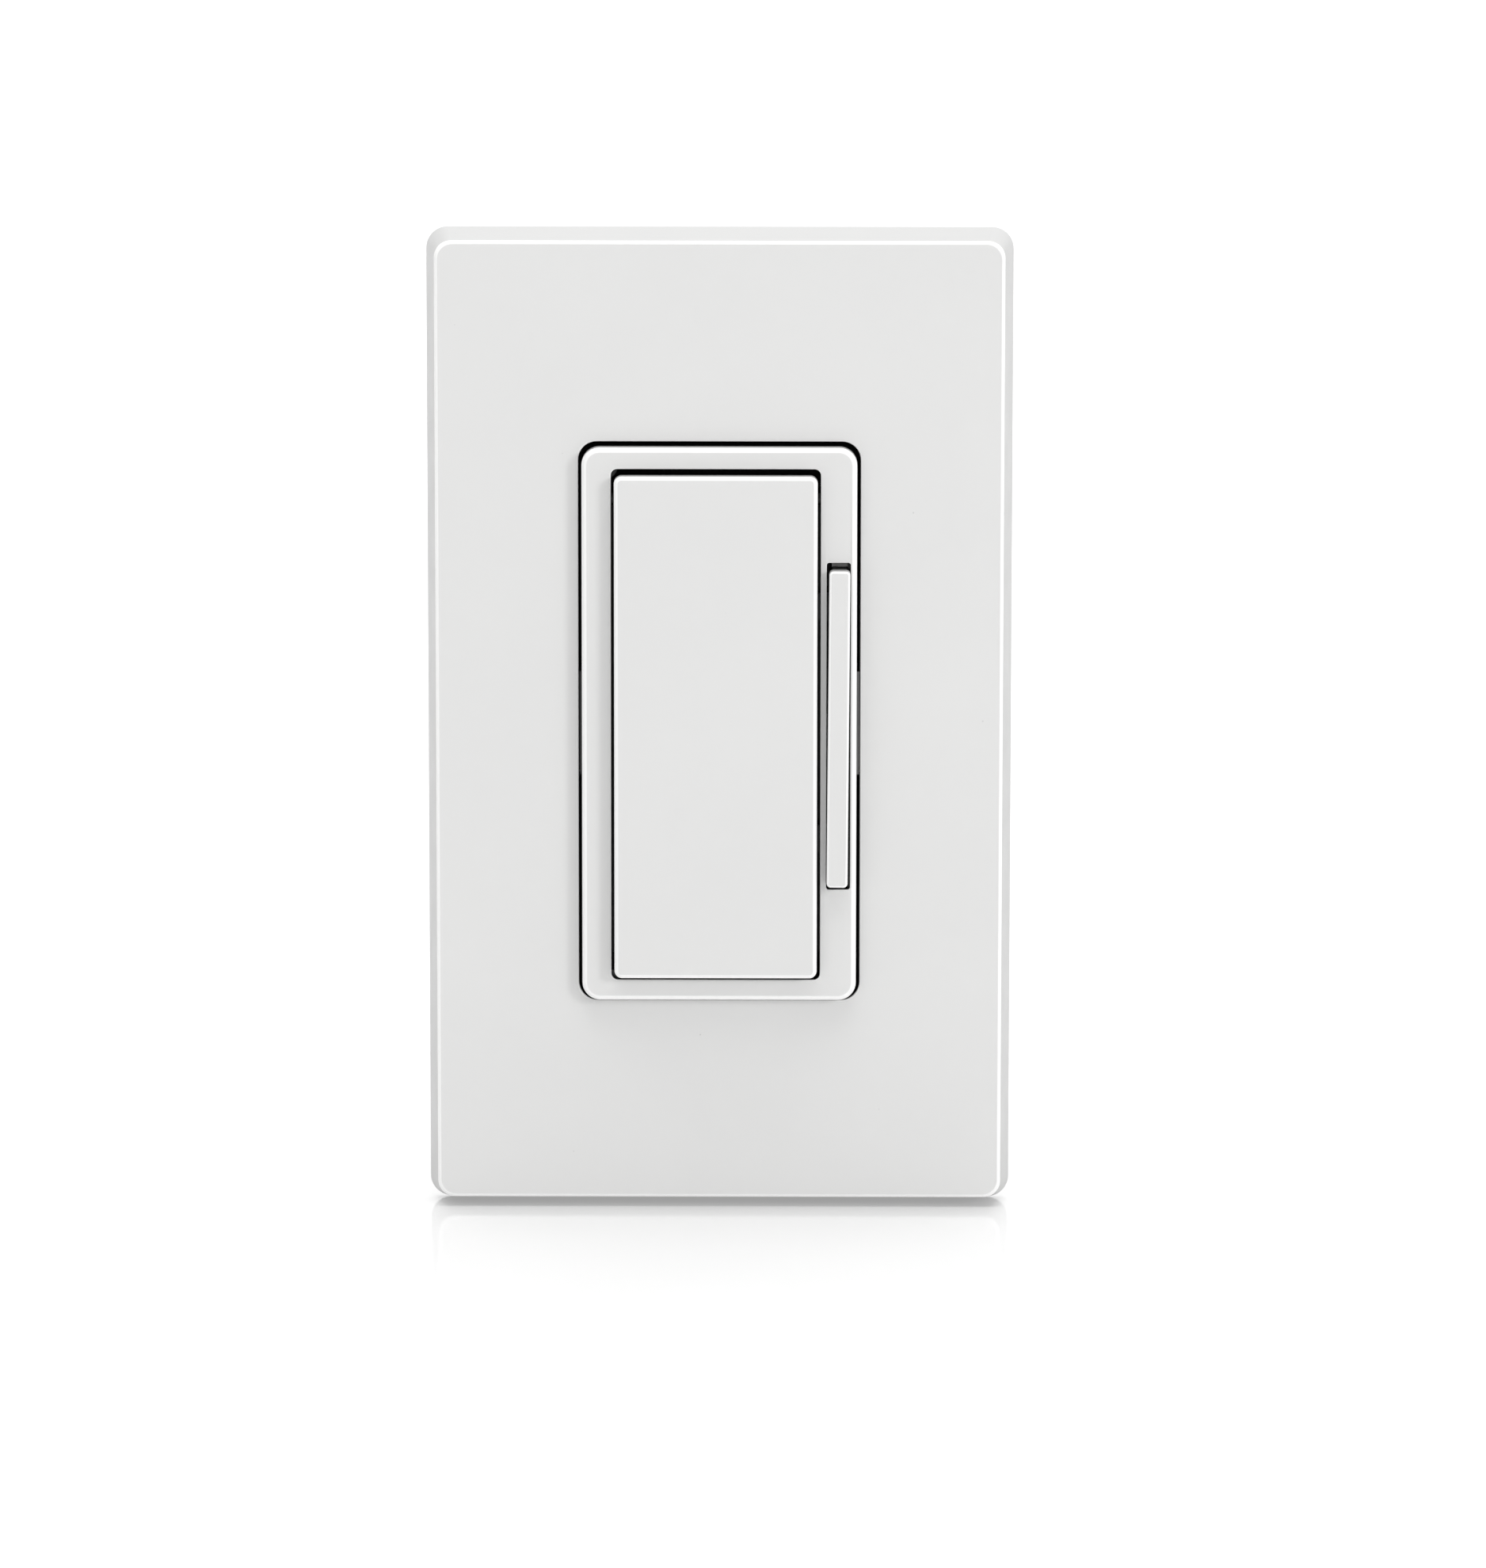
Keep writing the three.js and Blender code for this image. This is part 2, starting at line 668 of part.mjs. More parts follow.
function fuse() {
  const { radius, length, rise, leadWidth, leadEnd } = fuseLink;
  const half = leadWidth / 2;
  const rods = [1, -1].flatMap((end) => {
    const along = (near, far) => (end > 0 ? [near, far] : [-far, -near]);
    return [
      block([-half, half], [rise - half, rise + half], along(length / 2 - 0.5, leadEnd)),
      block([-half, half], [0, rise + half], along(leadEnd - leadWidth, leadEnd)),
    ];
  });
  const tube = new THREE.CylinderGeometry(radius, radius, length, 16);
  tube.rotateX(Math.PI / 2);
  tube.translate(0, rise, 0);
  return joined(solid(tube), ...rods);
}

const rectifier = () => softBlockBack({ width: 8.4, height: 6.5, radius: 0.3 }, 3.3, 0.4);
const supplyInductor = () => softBlockBack({ width: 7, height: 7, radius: 1.2 }, 4.6, 0.5);

// ---------------------------------------------------------------- terminals and housing

// One side terminal, built for the right side. y runs from its screw's axis.
function addTerminal(name, side, z, finish) {
  const { lugX, plate: thickness, clampX, headX, tipX } = terminal;
  const group = new THREE.Group();
  group.position.set(0, terminal.y, z);
  group.rotation.y = side > 0 ? 0 : Math.PI;
  object.add(group);

  const boardSide = boardTop - terminal.y;
  const hole = (radius) => rodX(radius, [lugX - 1, headX]);
  const lug = block([lugX, lugX + thickness], [boardSide, 4.6], [-4.2, 4.2]);
  place(`${name}_lug`, lug.subtract(hole(1.95)), brass(), group);

  const clamp = block([clampX, clampX + thickness], [-4.0, 4.0], [-4.0, 4.0]);
  place(`${name}_clamp`, clamp.subtract(hole(2.1)), zincSteel(), group);

  const screw = place(
    `${name}_screw`,
    slottedScrew({ ...terminalScrew, length: headX - tipX }),
    finish,
    group,
  );
  screw.position.x = headX;
  screw.rotation.z = Math.PI / 2;
}

function housingBody() {
  const { body, flange, front, flangeBack, back, wall, terminalWindow: size } = housing;
  const cavity = inset(body, wall);
  const windows = [1, -1].map((end) =>
    block(
      [-body.width, body.width],
      [terminal.y - size / 2, terminal.y + size / 2],
      [end * terminal.z - size / 2, end * terminal.z + size / 2],
    ),
  );
  const wireX = (terminal.lugX + terminal.plate + terminal.clampX) / 2;
  const wireHoles = [];
  for (const side of [1, -1])
    for (const end of [1, -1])
      for (const offset of [housing.wireHoleSpread, -housing.wireHoleSpread]) {
        const z = end * terminal.z + offset;
        wireHoles.push(rodY(housing.wireHole, [back - wall - 1, back + 1], side * wireX, z, 10));
      }
  const screwHoles = bossPlaces.map(([x, z]) => rodY(1.4, [front - 1, flangeBack + 1], x, z, 12));
  const { width, height, depth } = housing.labelRecess;
  const label = roundedPlate({ width, height, radius: 1 }, [back - depth, back + 1]);
  return cutBy(
    joined(
      lofted([{ ...inset(body, 0.6), y: back }, { ...body, y: back - 0.6 }, { ...body, y: front }]),
      roundedPlate(flange, [front, flangeBack]),
    ),
    roundedPlate(cavity, [front - 1, back - wall]),
    ...windows,
    ...wireHoles,
    ...screwHoles,
    label,
  );
}

// ---------------------------------------------------------------- assembly

place("wallplate_cover", coverBody(), whitePlastic());
place("wallplate_bracket", bracketBody(), whitePlastic());
place("face_frame", frameBody(), whitePlastic());
place("paddle", paddleBody(), whitePlastic());
place("dim_bar", barBody(), whitePlastic());
place("mounting_strap", strapBody(), aluminium());

for (const [end, side] of [["top", 1], ["bottom", -1]]) {
  const plateHead = place(`bracket_screw_${end}`, slottedScrew(plateScrew), zincSteel());
  plateHead.position.set(0, bracket.front - seatGap / 2, side * plateScrewZ);
  const boxHead = place(`box_screw_${end}`, slottedScrew(boxScrew), zincSteel());
  boxHead.position.set(0, -strap.thickness - seatGap, side * boxScrewZ);
  const retainer = place(`screw_retainer_${end}`, screwRetainer(), fibre());
  retainer.position.z = side * boxScrewZ;
}

place("insulating_sheet", insulatingSheet(), insulator());
place("control_board", controlBoardBody(), boardGreen());
place("controller_chip", controllerChip(), blackPlastic()).position.set(-7, 0, 8);
place("board_header", boardHeader(), blackPlastic());
addSwitch("paddle_switch", paddle.x, paddleSwitchZ);
addSwitch("brighter_switch", bar.arm.x, bar.arm.z);
addSwitch("dimmer_switch", bar.arm.x, -bar.arm.z);

place("power_board", powerBoardBody(), boardGreen());
place("triac", triacBody(), blackPlastic());
place("triac_pad", triacPad(), insulator());
const triacHead = place("triac_screw", slottedScrew(triacScrew), zincSteel());
triacHead.position.set(0, triac.front + triac.tab.thickness + seatGap, triac.screwZ);
triacHead.rotation.x = Math.PI;

const onBoard = [
  ["choke_core", chokeCore(), ferrite(), 0, -1.5],
  ["choke_winding", chokeWinding(), copperWire(), 0, -1.5],
  ["film_capacitor", filmCapacitor(), redPlastic(), 0, 20.5],
  ["bulk_capacitor", bulkCapacitor(), bluePlastic(), 9, -20],
  ["varistor", varistor(), bluePlastic(), -13.5, 20.2],
  ["fuse", fuse(), insulator(), 13.5, 20.2],
  ["bridge_rectifier", rectifier(), blackPlastic(), -10.5, -20],
  ["supply_inductor", supplyInductor(), ferrite(), -0.5, -20],
];
for (const [name, body, finish, x, z] of onBoard)
  place(name, body, finish).position.set(x, boardTop, z);

addTerminal("line_terminal", 1, terminal.z, brass());
addTerminal("load_terminal", 1, -terminal.z, brass());
addTerminal("neutral_terminal", -1, terminal.z, zincSteel());
addTerminal("traveler_terminal", -1, -terminal.z, brass());

const groundHead = place("ground_screw", slottedScrew(groundScrew), greenSteel());
groundHead.position.set(strap.groundScrew.x, seatGap, strap.groundScrew.z);
groundHead.rotation.x = Math.PI;

place("back_housing", housingBody(), greyPlastic());
bossPlaces.forEach(([x, z], index) => {
  const screw = place(`housing_screw_${index + 1}`, slottedScrew(housingScrew), zincSteel());
  screw.position.set(x, housing.flangeBack + seatGap, z);
  screw.rotation.x = Math.PI;
});

export default object;
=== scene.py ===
"""The looks of a wall-box light dimmer: a push paddle and a rocking bar in a white frame, behind a
screwless wallplate, with its strap, terminals, screws and housing. Lengths are written in
millimetres and turned into metres where meshes are made. The front faces -Y and Z is up."""
import json
import math

import bmesh
import bpy
from mathutils import Matrix, Vector

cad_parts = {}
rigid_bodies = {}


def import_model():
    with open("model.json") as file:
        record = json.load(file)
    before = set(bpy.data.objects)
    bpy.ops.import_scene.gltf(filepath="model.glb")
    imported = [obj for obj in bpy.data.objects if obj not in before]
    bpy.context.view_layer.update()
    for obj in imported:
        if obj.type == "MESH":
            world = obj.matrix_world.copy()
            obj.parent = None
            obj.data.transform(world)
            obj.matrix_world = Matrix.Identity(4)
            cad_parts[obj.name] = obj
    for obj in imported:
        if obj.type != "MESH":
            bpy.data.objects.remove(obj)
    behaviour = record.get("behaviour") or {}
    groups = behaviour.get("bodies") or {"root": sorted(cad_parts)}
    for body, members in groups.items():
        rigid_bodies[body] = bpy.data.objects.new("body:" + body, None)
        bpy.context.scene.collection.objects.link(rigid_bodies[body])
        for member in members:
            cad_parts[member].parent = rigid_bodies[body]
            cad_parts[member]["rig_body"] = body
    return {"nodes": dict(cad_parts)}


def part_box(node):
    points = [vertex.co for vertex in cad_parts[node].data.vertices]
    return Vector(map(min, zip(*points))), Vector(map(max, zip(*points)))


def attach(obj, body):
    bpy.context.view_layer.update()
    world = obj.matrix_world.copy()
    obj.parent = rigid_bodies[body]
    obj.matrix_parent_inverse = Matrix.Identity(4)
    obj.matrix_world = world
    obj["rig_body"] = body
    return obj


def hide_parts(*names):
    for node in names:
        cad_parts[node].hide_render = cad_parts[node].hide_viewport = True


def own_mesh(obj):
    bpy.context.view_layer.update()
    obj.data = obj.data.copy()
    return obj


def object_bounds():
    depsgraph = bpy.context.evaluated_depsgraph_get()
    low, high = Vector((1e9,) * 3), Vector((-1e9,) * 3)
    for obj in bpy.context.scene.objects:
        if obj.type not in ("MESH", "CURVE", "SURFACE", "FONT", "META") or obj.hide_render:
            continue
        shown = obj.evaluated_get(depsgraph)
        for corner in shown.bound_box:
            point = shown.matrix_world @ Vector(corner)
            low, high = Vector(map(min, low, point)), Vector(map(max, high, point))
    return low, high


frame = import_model()
cad_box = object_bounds()

MM = 0.001
CORNER_STEPS = 10
FAR = 9.0  # how far off a profile path's first and last points lie
CLEAR = 1.0  # how far a cutting tool reaches past what it cuts


def node_box(node):
    """A CAD node's lowest and highest corners in millimetres."""
    low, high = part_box(node)
    return low / MM, high / MM


# ---- outlines and profiles


def outline(width, height, radius, x=0.0, z=0.0):
    """A rounded rectangle seen from the front."""
    return {"width": width, "height": height, "radius": radius, "x": x, "z": z}


def disc(radius, x=0.0, z=0.0):
    return outline(2 * radius, 2 * radius, radius - 0.001, x, z)


def loop_points(shape, y, inset=0.0, corner_keep=1.0):
    """The points of an outline pulled in by inset, at depth y. The corner radius shrinks by
    corner_keep times the inset."""
    radius = max(shape["radius"] - inset * corner_keep, 0.1)
    half_width = shape["width"] / 2 - inset - radius
    half_height = shape["height"] / 2 - inset - radius
    points = []
    corners = ((1, -1, -90), (1, 1, 0), (-1, 1, 90), (-1, -1, 180))
    for side_x, side_z, start in corners:
        for step in range(CORNER_STEPS + 1):
            angle = math.radians(start + 90 * step / CORNER_STEPS)
            x = shape["x"] + side_x * half_width + radius * math.cos(angle)
            z = shape["z"] + side_z * half_height + radius * math.sin(angle)
            points.append(Vector((x, y, z)))
    return points


def rounded_path(corners, steps=6):
    """A path of (inset, y) points. Each corner is (inset, y, radius), and the first and last only
    say where the path comes from and goes to."""
    path = []
    for before, here, after in zip(corners, corners[1:], corners[2:]):
        point = Vector(here[:2])
        inward = (Vector(before[:2]) - point).normalized()
        outward = (Vector(after[:2]) - point).normalized()
        half = inward.angle(outward) / 2
        radius = here[2]
        if radius <= 0:
            path.append((point.x, point.y))
            continue
        start = point + inward * radius / math.tan(half)
        end = point + outward * radius / math.tan(half)
        centre = point + (inward + outward).normalized() * radius / math.sin(half)
        for step in range(steps + 1):
            spoke = (start - centre).slerp(end - centre, step / steps)
            place = centre + spoke * radius
            path.append((place.x, place.y))
    return path


# ---- mesh building


def add_loop(bm, points):
    return [bm.verts.new(point * MM) for point in points]


def join_loops(bm, first, second):
    count = len(first)
    for i in range(count):
        j = (i + 1) % count
        bm.faces.new((first[i], first[j], second[j], second[i]))


def add_family(bm, shape, path, corner_keep=1.0):
    """The loops of one outline along a profile path, joined to each other."""
    loops = [add_loop(bm, loop_points(shape, y, inset, corner_keep)) for inset, y in path]
    for first, second in zip(loops, loops[1:]):
        join_loops(bm, first, second)
    return loops


def fill_between(bm, *loops):
    """Fills the flat region between an outer loop and the loops of the holes in it."""
    edges = []
    for loop in loops:
        for i, vert in enumerate(loop):
            after = loop[(i + 1) % len(loop)]
            edges.append(bm.edges.get((vert, after)) or bm.edges.new((vert, after)))
    bmesh.ops.triangle_fill(bm, use_beauty=True, use_dissolve=False, edges=edges)


def mesh_object(bm, name):
    """An object from a bmesh, with its faces turned outwards."""
    bmesh.ops.recalc_face_normals(bm, faces=bm.faces)
    mesh = bpy.data.meshes.new(name)
    bm.to_mesh(mesh)
    bm.free()
    made = bpy.data.objects.new(name, mesh)
    bpy.context.scene.collection.objects.link(made)
    return made


def smooth(piece, angle=32.0):
    """Shades a piece smoothly across its rounded edges and flat on its flat faces."""
    mesh = piece.data
    mesh.polygons.foreach_set("use_smooth", [True] * len(mesh.polygons))
    mesh.set_sharp_from_angle(angle=math.radians(angle))
    weighted = piece.modifiers.new("weighted normals", "WEIGHTED_NORMAL")
    weighted.keep_sharp = True
    return piece


def bevelled(piece, width, segments=2, angle=40.0):
    """Rounds every edge of a piece that is sharper than the angle."""
    step = piece.modifiers.new("rounded edges", "BEVEL")
    step.width = width * MM
    step.segments = segments
    step.limit_method = "ANGLE"
    step.angle_limit = math.radians(angle)
    step.miter_outer = "MITER_ARC"
    return piece


def slab(name, shape, front, back, edge=0.15):
    """A plate with an outline and softly rounded edges on both faces."""
    bm = bmesh.new()
    loops = add_family(bm, shape, rounded_path([
        (FAR, back, 0), (0, back, edge), (0, front, edge), (FAR, front, 0),
    ], steps=3))
    bm.faces.new(loops[0])
    bm.faces.new(loops[-1])
    return mesh_object(bm, name)


def box_tool(low, high, name="tool"):
    """A plain box between two corners, used only to join to or cut another mesh."""
    bm = bmesh.new()
    bmesh.ops.create_cube(bm, size=1)
    low, high = Vector(low), Vector(high)
    middle = (low + high) / 2
    for vert in bm.verts:
        vert.co = Vector(middle[i] + vert.co[i] * (high[i] - low[i]) for i in range(3)) * MM
    return mesh_object(bm, name)


def rod_tool(radius, start, end, sides=32, end_radius=None, name="tool"):
    """A plain round rod or cone from start to end, used only to join to or cut another mesh."""
    start, end = Vector(start), Vector(end)
    axis = end - start
    bm = bmesh.new()
    bmesh.ops.create_cone(
        bm, cap_ends=True, segments=sides, radius1=radius * MM,
        radius2=(end_radius or radius) * MM, depth=axis.length * MM,
    )
    turn = Vector((0, 0, 1)).rotation_difference(axis).to_matrix().to_4x4()
    bm.transform(Matrix.Translation((start + end) / 2 * MM) @ turn)
    return mesh_object(bm, name)


def shape_tool(shape, front, back, name="tool"):
    """A straight-sided block with an outline, used only to cut another mesh."""
    bm = bmesh.new()
    loops = add_family(bm, shape, [(0, back), (0, front)])
    bm.faces.new(loops[0])
    bm.faces.new(loops[-1])
    return mesh_object(bm, name)


def combine(piece, tools, operation):
    """Joins tools to a piece or cuts them from it, and removes them."""
    for tool in tools:
        step = piece.modifiers.new("combine", "BOOLEAN")
        step.operation = operation
        step.solver = "EXACT"
        step.object = tool
        graph = bpy.context.evaluated_depsgraph_get()
        result = bpy.data.meshes.new_from_object(piece.evaluated_get(graph))
        piece.modifiers.clear()
        piece.data = result
        bpy.data.objects.remove(tool)
    return piece


def seat(piece, node, material):
    """Puts a finished piece on its CAD node's body, in that node's place."""
    piece.data.materials.clear()
    piece.data.materials.append(material)
    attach(piece, frame["nodes"][node]["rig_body"])
    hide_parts(node)
    return piece


# ---- material nodes


class Nodes:
    """The node tree of one material, with short ways to add the nodes that the finishes share."""

    def __init__(self, name):
        self.material = bpy.data.materials.new(name)
        self.material.use_nodes = True
        self.tree = self.material.node_tree
        self.shader = self.tree.nodes["Principled BSDF"]
        coordinates = self.tree.nodes.new("ShaderNodeTexCoord")
        self.place = coordinates.outputs["Object"]
        self.normal = coordinates.outputs["Normal"]

    def add(self, kind, **settings):
        node = self.tree.nodes.new(kind)
        for key, value in settings.items():
            setattr(node, key, value)
        return node

    def link(self, source, target):
        self.tree.links.new(source, target)

    def axis(self, source, name):
        node = self.add("ShaderNodeSeparateXYZ")
        self.link(source, node.inputs[0])
        return node.outputs[name]

    def math(self, operation, first, second=None):
        node = self.add("ShaderNodeMath", operation=operation)
        for socket, value in zip(node.inputs, (first, second)):
            if isinstance(value, (int, float)):
                socket.default_value = value
            elif value is not None:
                self.link(value, socket)
        return node.outputs[0]

    def stretched(self, scale):
        node = self.add("ShaderNodeMapping")
        node.inputs["Scale"].default_value = scale
        self.link(self.place, node.inputs["Vector"])
        return node.outputs["Vector"]

    def noise(self, size_mm, detail=2.0, roughness=0.5, stretch=None):
        """A noise whose features are about size_mm across."""
        node = self.add("ShaderNodeTexNoise")
        node.inputs["Scale"].default_value = 1.0 / (size_mm * MM)
        node.inputs["Detail"].default_value = detail
        node.inputs["Roughness"].default_value = roughness
        self.link(self.stretched(stretch) if stretch else self.place, node.inputs["Vector"])
        return node.outputs["Fac"]

    def cells(self, size_mm, stretch=None, feature="F1"):
        """The distance to the nearest of points scattered about size_mm apart."""
        node = self.add("ShaderNodeTexVoronoi", feature=feature)
        node.inputs["Scale"].default_value = 1.0 / (size_mm * MM)
        self.link(self.stretched(stretch) if stretch else self.place, node.inputs["Vector"])
        return node.outputs["Distance"]

    def ramp(self, source, *stops):
        """Colours along a value: each stop is (position, colour)."""
        node = self.add("ShaderNodeValToRGB")
        elements = node.color_ramp.elements
        while len(elements) < len(stops):
            elements.new(0.5)
        for element, (position, colour) in zip(elements, stops):
            colour = (colour,) * 3 if isinstance(colour, (int, float)) else colour
            element.position = position
            element.color = (*colour, 1)
        self.link(source, node.inputs["Fac"])
        return node.outputs["Color"]

    def spread(self, source, low, high, start=0.3, end=0.7):
        """A value mapped from start..end onto low..high."""
        node = self.add("ShaderNodeMapRange")
        node.inputs["From Min"].default_value = start
        node.inputs["From Max"].default_value = end
        node.inputs["To Min"].default_value = low
        node.inputs["To Max"].default_value = high
        self.link(source, node.inputs["Value"])
        return node.outputs["Result"]

    def mix(self, amount, first, second, blend="MIX"):
        """first with second over it by amount."""
        node = self.add("ShaderNodeMix", data_type="RGBA", blend_type=blend)
        factor, below, above = node.inputs[0], node.inputs[6], node.inputs[7]
        for socket, value in ((factor, amount), (below, first), (above, second)):
            if isinstance(value, tuple):
                socket.default_value = (*value, 1)
            elif isinstance(value, (int, float)):
                socket.default_value = value
            else:
                self.link(value, socket)
        return node.outputs[2]

    def bump(self, source, height_mm, after=None):
        node = self.add("ShaderNodeBump")
        node.inputs["Distance"].default_value = height_mm * MM
        self.link(source, node.inputs["Height"])
        if after:
            self.link(after, node.inputs["Normal"])
        return node.outputs["Normal"]

    def inside(self, shape):
        """1 within a rectangle of the front view, 0 outside it."""
        across = self.math("SUBTRACT", self.axis(self.place, "X"), shape["x"] * MM)
        up = self.math("SUBTRACT", self.axis(self.place, "Z"), shape["z"] * MM)
        across = self.math("DIVIDE", self.math("ABSOLUTE", across), shape["width"] / 2 * MM)
        up = self.math("DIVIDE", self.math("ABSOLUTE", up), shape["height"] / 2 * MM)
        return self.math("LESS_THAN", self.math("MAXIMUM", across, up), 1.0)

    def finish(self, colour, roughness, normal=None):
        self.link(colour, self.shader.inputs["Base Color"])
        self.link(roughness, self.shader.inputs["Roughness"])
        if normal:
            self.link(normal, self.shader.inputs["Normal"])
        return self.material


# ---- plastics

WHITE = (0.78, 0.78, 0.774)
WHITE_MOTTLE = (0.768, 0.768, 0.763)
PAINTED_EDGE_HIGHLIGHT = (0.995, 0.995, 0.99)
SIDE_WALL_SHADE = 0.63  # painted shade on the side walls: their colour, as a share of the faces'
# Painted shade: the near-black that the foot of each gap turns to.
GAP_SHADE = (0.004, 0.004, 0.004)
# painted shade on the snap leg's pad, lighter than in the rest of the gap
PAD_SHADE = (0.3, 0.3, 0.3)
# The depths over which the painted shade in each gap darkens, from where it starts to where it is
# full.
COVER_GAP = (-6.45, -6.0)
FRAME_GAP = (-6.9, -6.2)
OPENING_GAP = (-8.22, -7.9)
PAD_DEPTH = (-6.3, -6.1)
PADDLE_GAP = (-8.6, -8.05)


def white_plastic(name, *gaps):
    """Satin white moulding: a faint mottle and fine grain, with painted shade on the side walls, a
    painted highlight where an edge is rounded, and painted shade in its gaps. Each gap is (y where
    it starts, y where it is full, shape or None, colour), with y in millimetres."""
    nodes = Nodes(name)
    colour = nodes.ramp(nodes.noise(18.0, detail=3.0), (0.3, WHITE_MOTTLE), (0.7, WHITE))
    specks = nodes.ramp(nodes.cells(5.5), (0.012, 0.8), (0.02, 1.0))
    colour = nodes.mix(1.0, colour, specks, "MULTIPLY")
    towards_room = nodes.math("MULTIPLY", nodes.axis(nodes.normal, "Y"), -1.0)
    # painted shade: walls that face sideways are darker
    painted_side_shade = nodes.ramp(towards_room, (0.0, SIDE_WALL_SHADE), (0.22, SIDE_WALL_SHADE), (0.4, 1.0))
    colour = nodes.mix(1.0, colour, painted_side_shade, "MULTIPLY")
    # painted highlight: rounded edges, told by their normals, turn paler
    edge = nodes.ramp(towards_room, (0.24, 0.0), (0.45, 1.0), (0.97, 1.0), (0.998, 0.0))
    colour = nodes.mix(edge, colour, PAINTED_EDGE_HIGHLIGHT)
    depth = nodes.axis(nodes.place, "Y")
    # painted shade: each gap darkens the colour with depth
    for start, full, shape, gap_colour in gaps:
        shade = nodes.spread(depth, 0.0, 1.0, start * MM, full * MM)
        if shape:
            shade = nodes.math("MULTIPLY", shade, nodes.inside(shape))
        colour = nodes.mix(shade, colour, gap_colour)
    patches = nodes.noise(5.0, detail=4.0, roughness=0.6)
    gloss = nodes.spread(patches, 0.29, 0.34)
    waves = nodes.bump(nodes.noise(7.0, detail=1.0), 0.004)
    grain = nodes.bump(nodes.noise(0.3, detail=3.0), 0.0006, after=waves)
    return nodes.finish(colour, gloss, grain)


# Each is (light, dark, roughness, grain size, grain height), with the grain in millimetres.
MOULDINGS = {
    "bracket plastic": ((0.74, 0.74, 0.72), (0.66, 0.66, 0.64), 0.52, 0.25, 0.004),
    "housing plastic": ((0.035, 0.035, 0.038), (0.02, 0.02, 0.022), 0.5, 0.22, 0.012),
    "black plastic": ((0.022, 0.022, 0.024), (0.012, 0.012, 0.013), 0.45, 0.18, 0.005),
    "capacitor red": ((0.5, 0.05, 0.03), (0.4, 0.035, 0.02), 0.4, 0.8, 0.01),
    "component blue": ((0.03, 0.1, 0.34), (0.02, 0.07, 0.25), 0.4, 0.9, 0.01),
    "button rubber": ((0.05, 0.05, 0.05), (0.03, 0.03, 0.03), 0.8, 0.12, 0.006),
    "insulator": ((0.66, 0.62, 0.5), (0.58, 0.54, 0.43), 0.55, 0.6, 0.006),
    "ferrite": ((0.045, 0.046, 0.05), (0.02, 0.02, 0.022), 0.62, 0.15, 0.015),
}


def moulded(name):
    """Textured moulding: mottled colour and gloss over an even surface grain."""
    light, dark, roughness, grain_mm, grain_height_mm = MOULDINGS[name]
    nodes = Nodes(name)
    colour = nodes.ramp(nodes.noise(9.0, detail=4.0), (0.32, dark), (0.68, light))
    scuffs = nodes.noise(2.5, detail=5.0, roughness=0.7, stretch=(1, 1, 0.25))
    gloss = nodes.spread(scuffs, roughness - 0.08, roughness + 0.06)
    grain = nodes.bump(nodes.noise(grain_mm, detail=2.0), grain_height_mm)
    return nodes.finish(colour, gloss, grain)


def fibre():
    """Pressed fibre board, with strands lying both ways."""
    nodes = Nodes("fibre")
    strands = nodes.noise(0.5, detail=4.0, stretch=(0.2, 1, 1))
    crossing = nodes.noise(0.5, detail=4.0, stretch=(1, 1, 0.2))
    weave = nodes.math("ADD", strands, crossing)
    colour = nodes.ramp(
        nodes.math("MULTIPLY", weave, 0.5), (0.35, (0.17, 0.085, 0.045)), (0.65, (0.3, 0.17, 0.1))
    )
    gloss = nodes.spread(strands, 0.72, 0.9)
    return nodes.finish(colour, gloss, nodes.bump(weave, 0.03))


def circuit_board(name, mask_colour, track_colour):
    """Solder mask over glass cloth, with a paler web of tracks under it."""
    nodes = Nodes(name)
    tracks = nodes.cells(3.2, stretch=(1, 0.2, 0.55), feature="DISTANCE_TO_EDGE")
    mask = nodes.ramp(tracks, (0.04, track_colour), (0.075, mask_colour))
    gloss = nodes.spread(nodes.noise(1.5, detail=3.0), 0.3, 0.42)
    return nodes.finish(mask, gloss, nodes.bump(nodes.noise(0.4, stretch=(1, 1, 0.3)), 0.008))


# ---- metals


# Each is (light, dark, roughness, line stretch, line size, line height), in millimetres.
METALS = {
    "zinc steel": ((0.62, 0.63, 0.66), (0.42, 0.43, 0.46), 0.37, (1, 1, 0.5), 0.3, 0.006),
    "brass": ((0.72, 0.5, 0.19), (0.55, 0.36, 0.12), 0.37, (1, 0.15, 1), 0.3, 0.006),
    "green steel": ((0.06, 0.3, 0.12), (0.03, 0.19, 0.07), 0.38, (1, 1, 0.5), 0.35, 0.008),
    "enamelled copper": ((0.6, 0.2, 0.07), (0.42, 0.12, 0.04), 0.37, (1, 1, 1), 0.5, 0.004),
}


def metal(name):
    """Worked metal: cloudy tone over fine drawn lines that also break the gloss up."""
    light, dark, roughness, stretch, line_mm, line_height_mm = METALS[name]
    nodes = Nodes(name)
    nodes.shader.inputs["Metallic"].default_value = 1.0
    clouds = nodes.ramp(nodes.noise(4.0, detail=5.0, roughness=0.65), (0.3, dark), (0.7, light))
    lines = nodes.noise(line_mm, detail=3.0, roughness=0.6, stretch=stretch)
    gloss = nodes.spread(lines, roughness - 0.08, roughness + 0.1)
    return nodes.finish(clouds, gloss, nodes.bump(lines, line_height_mm))


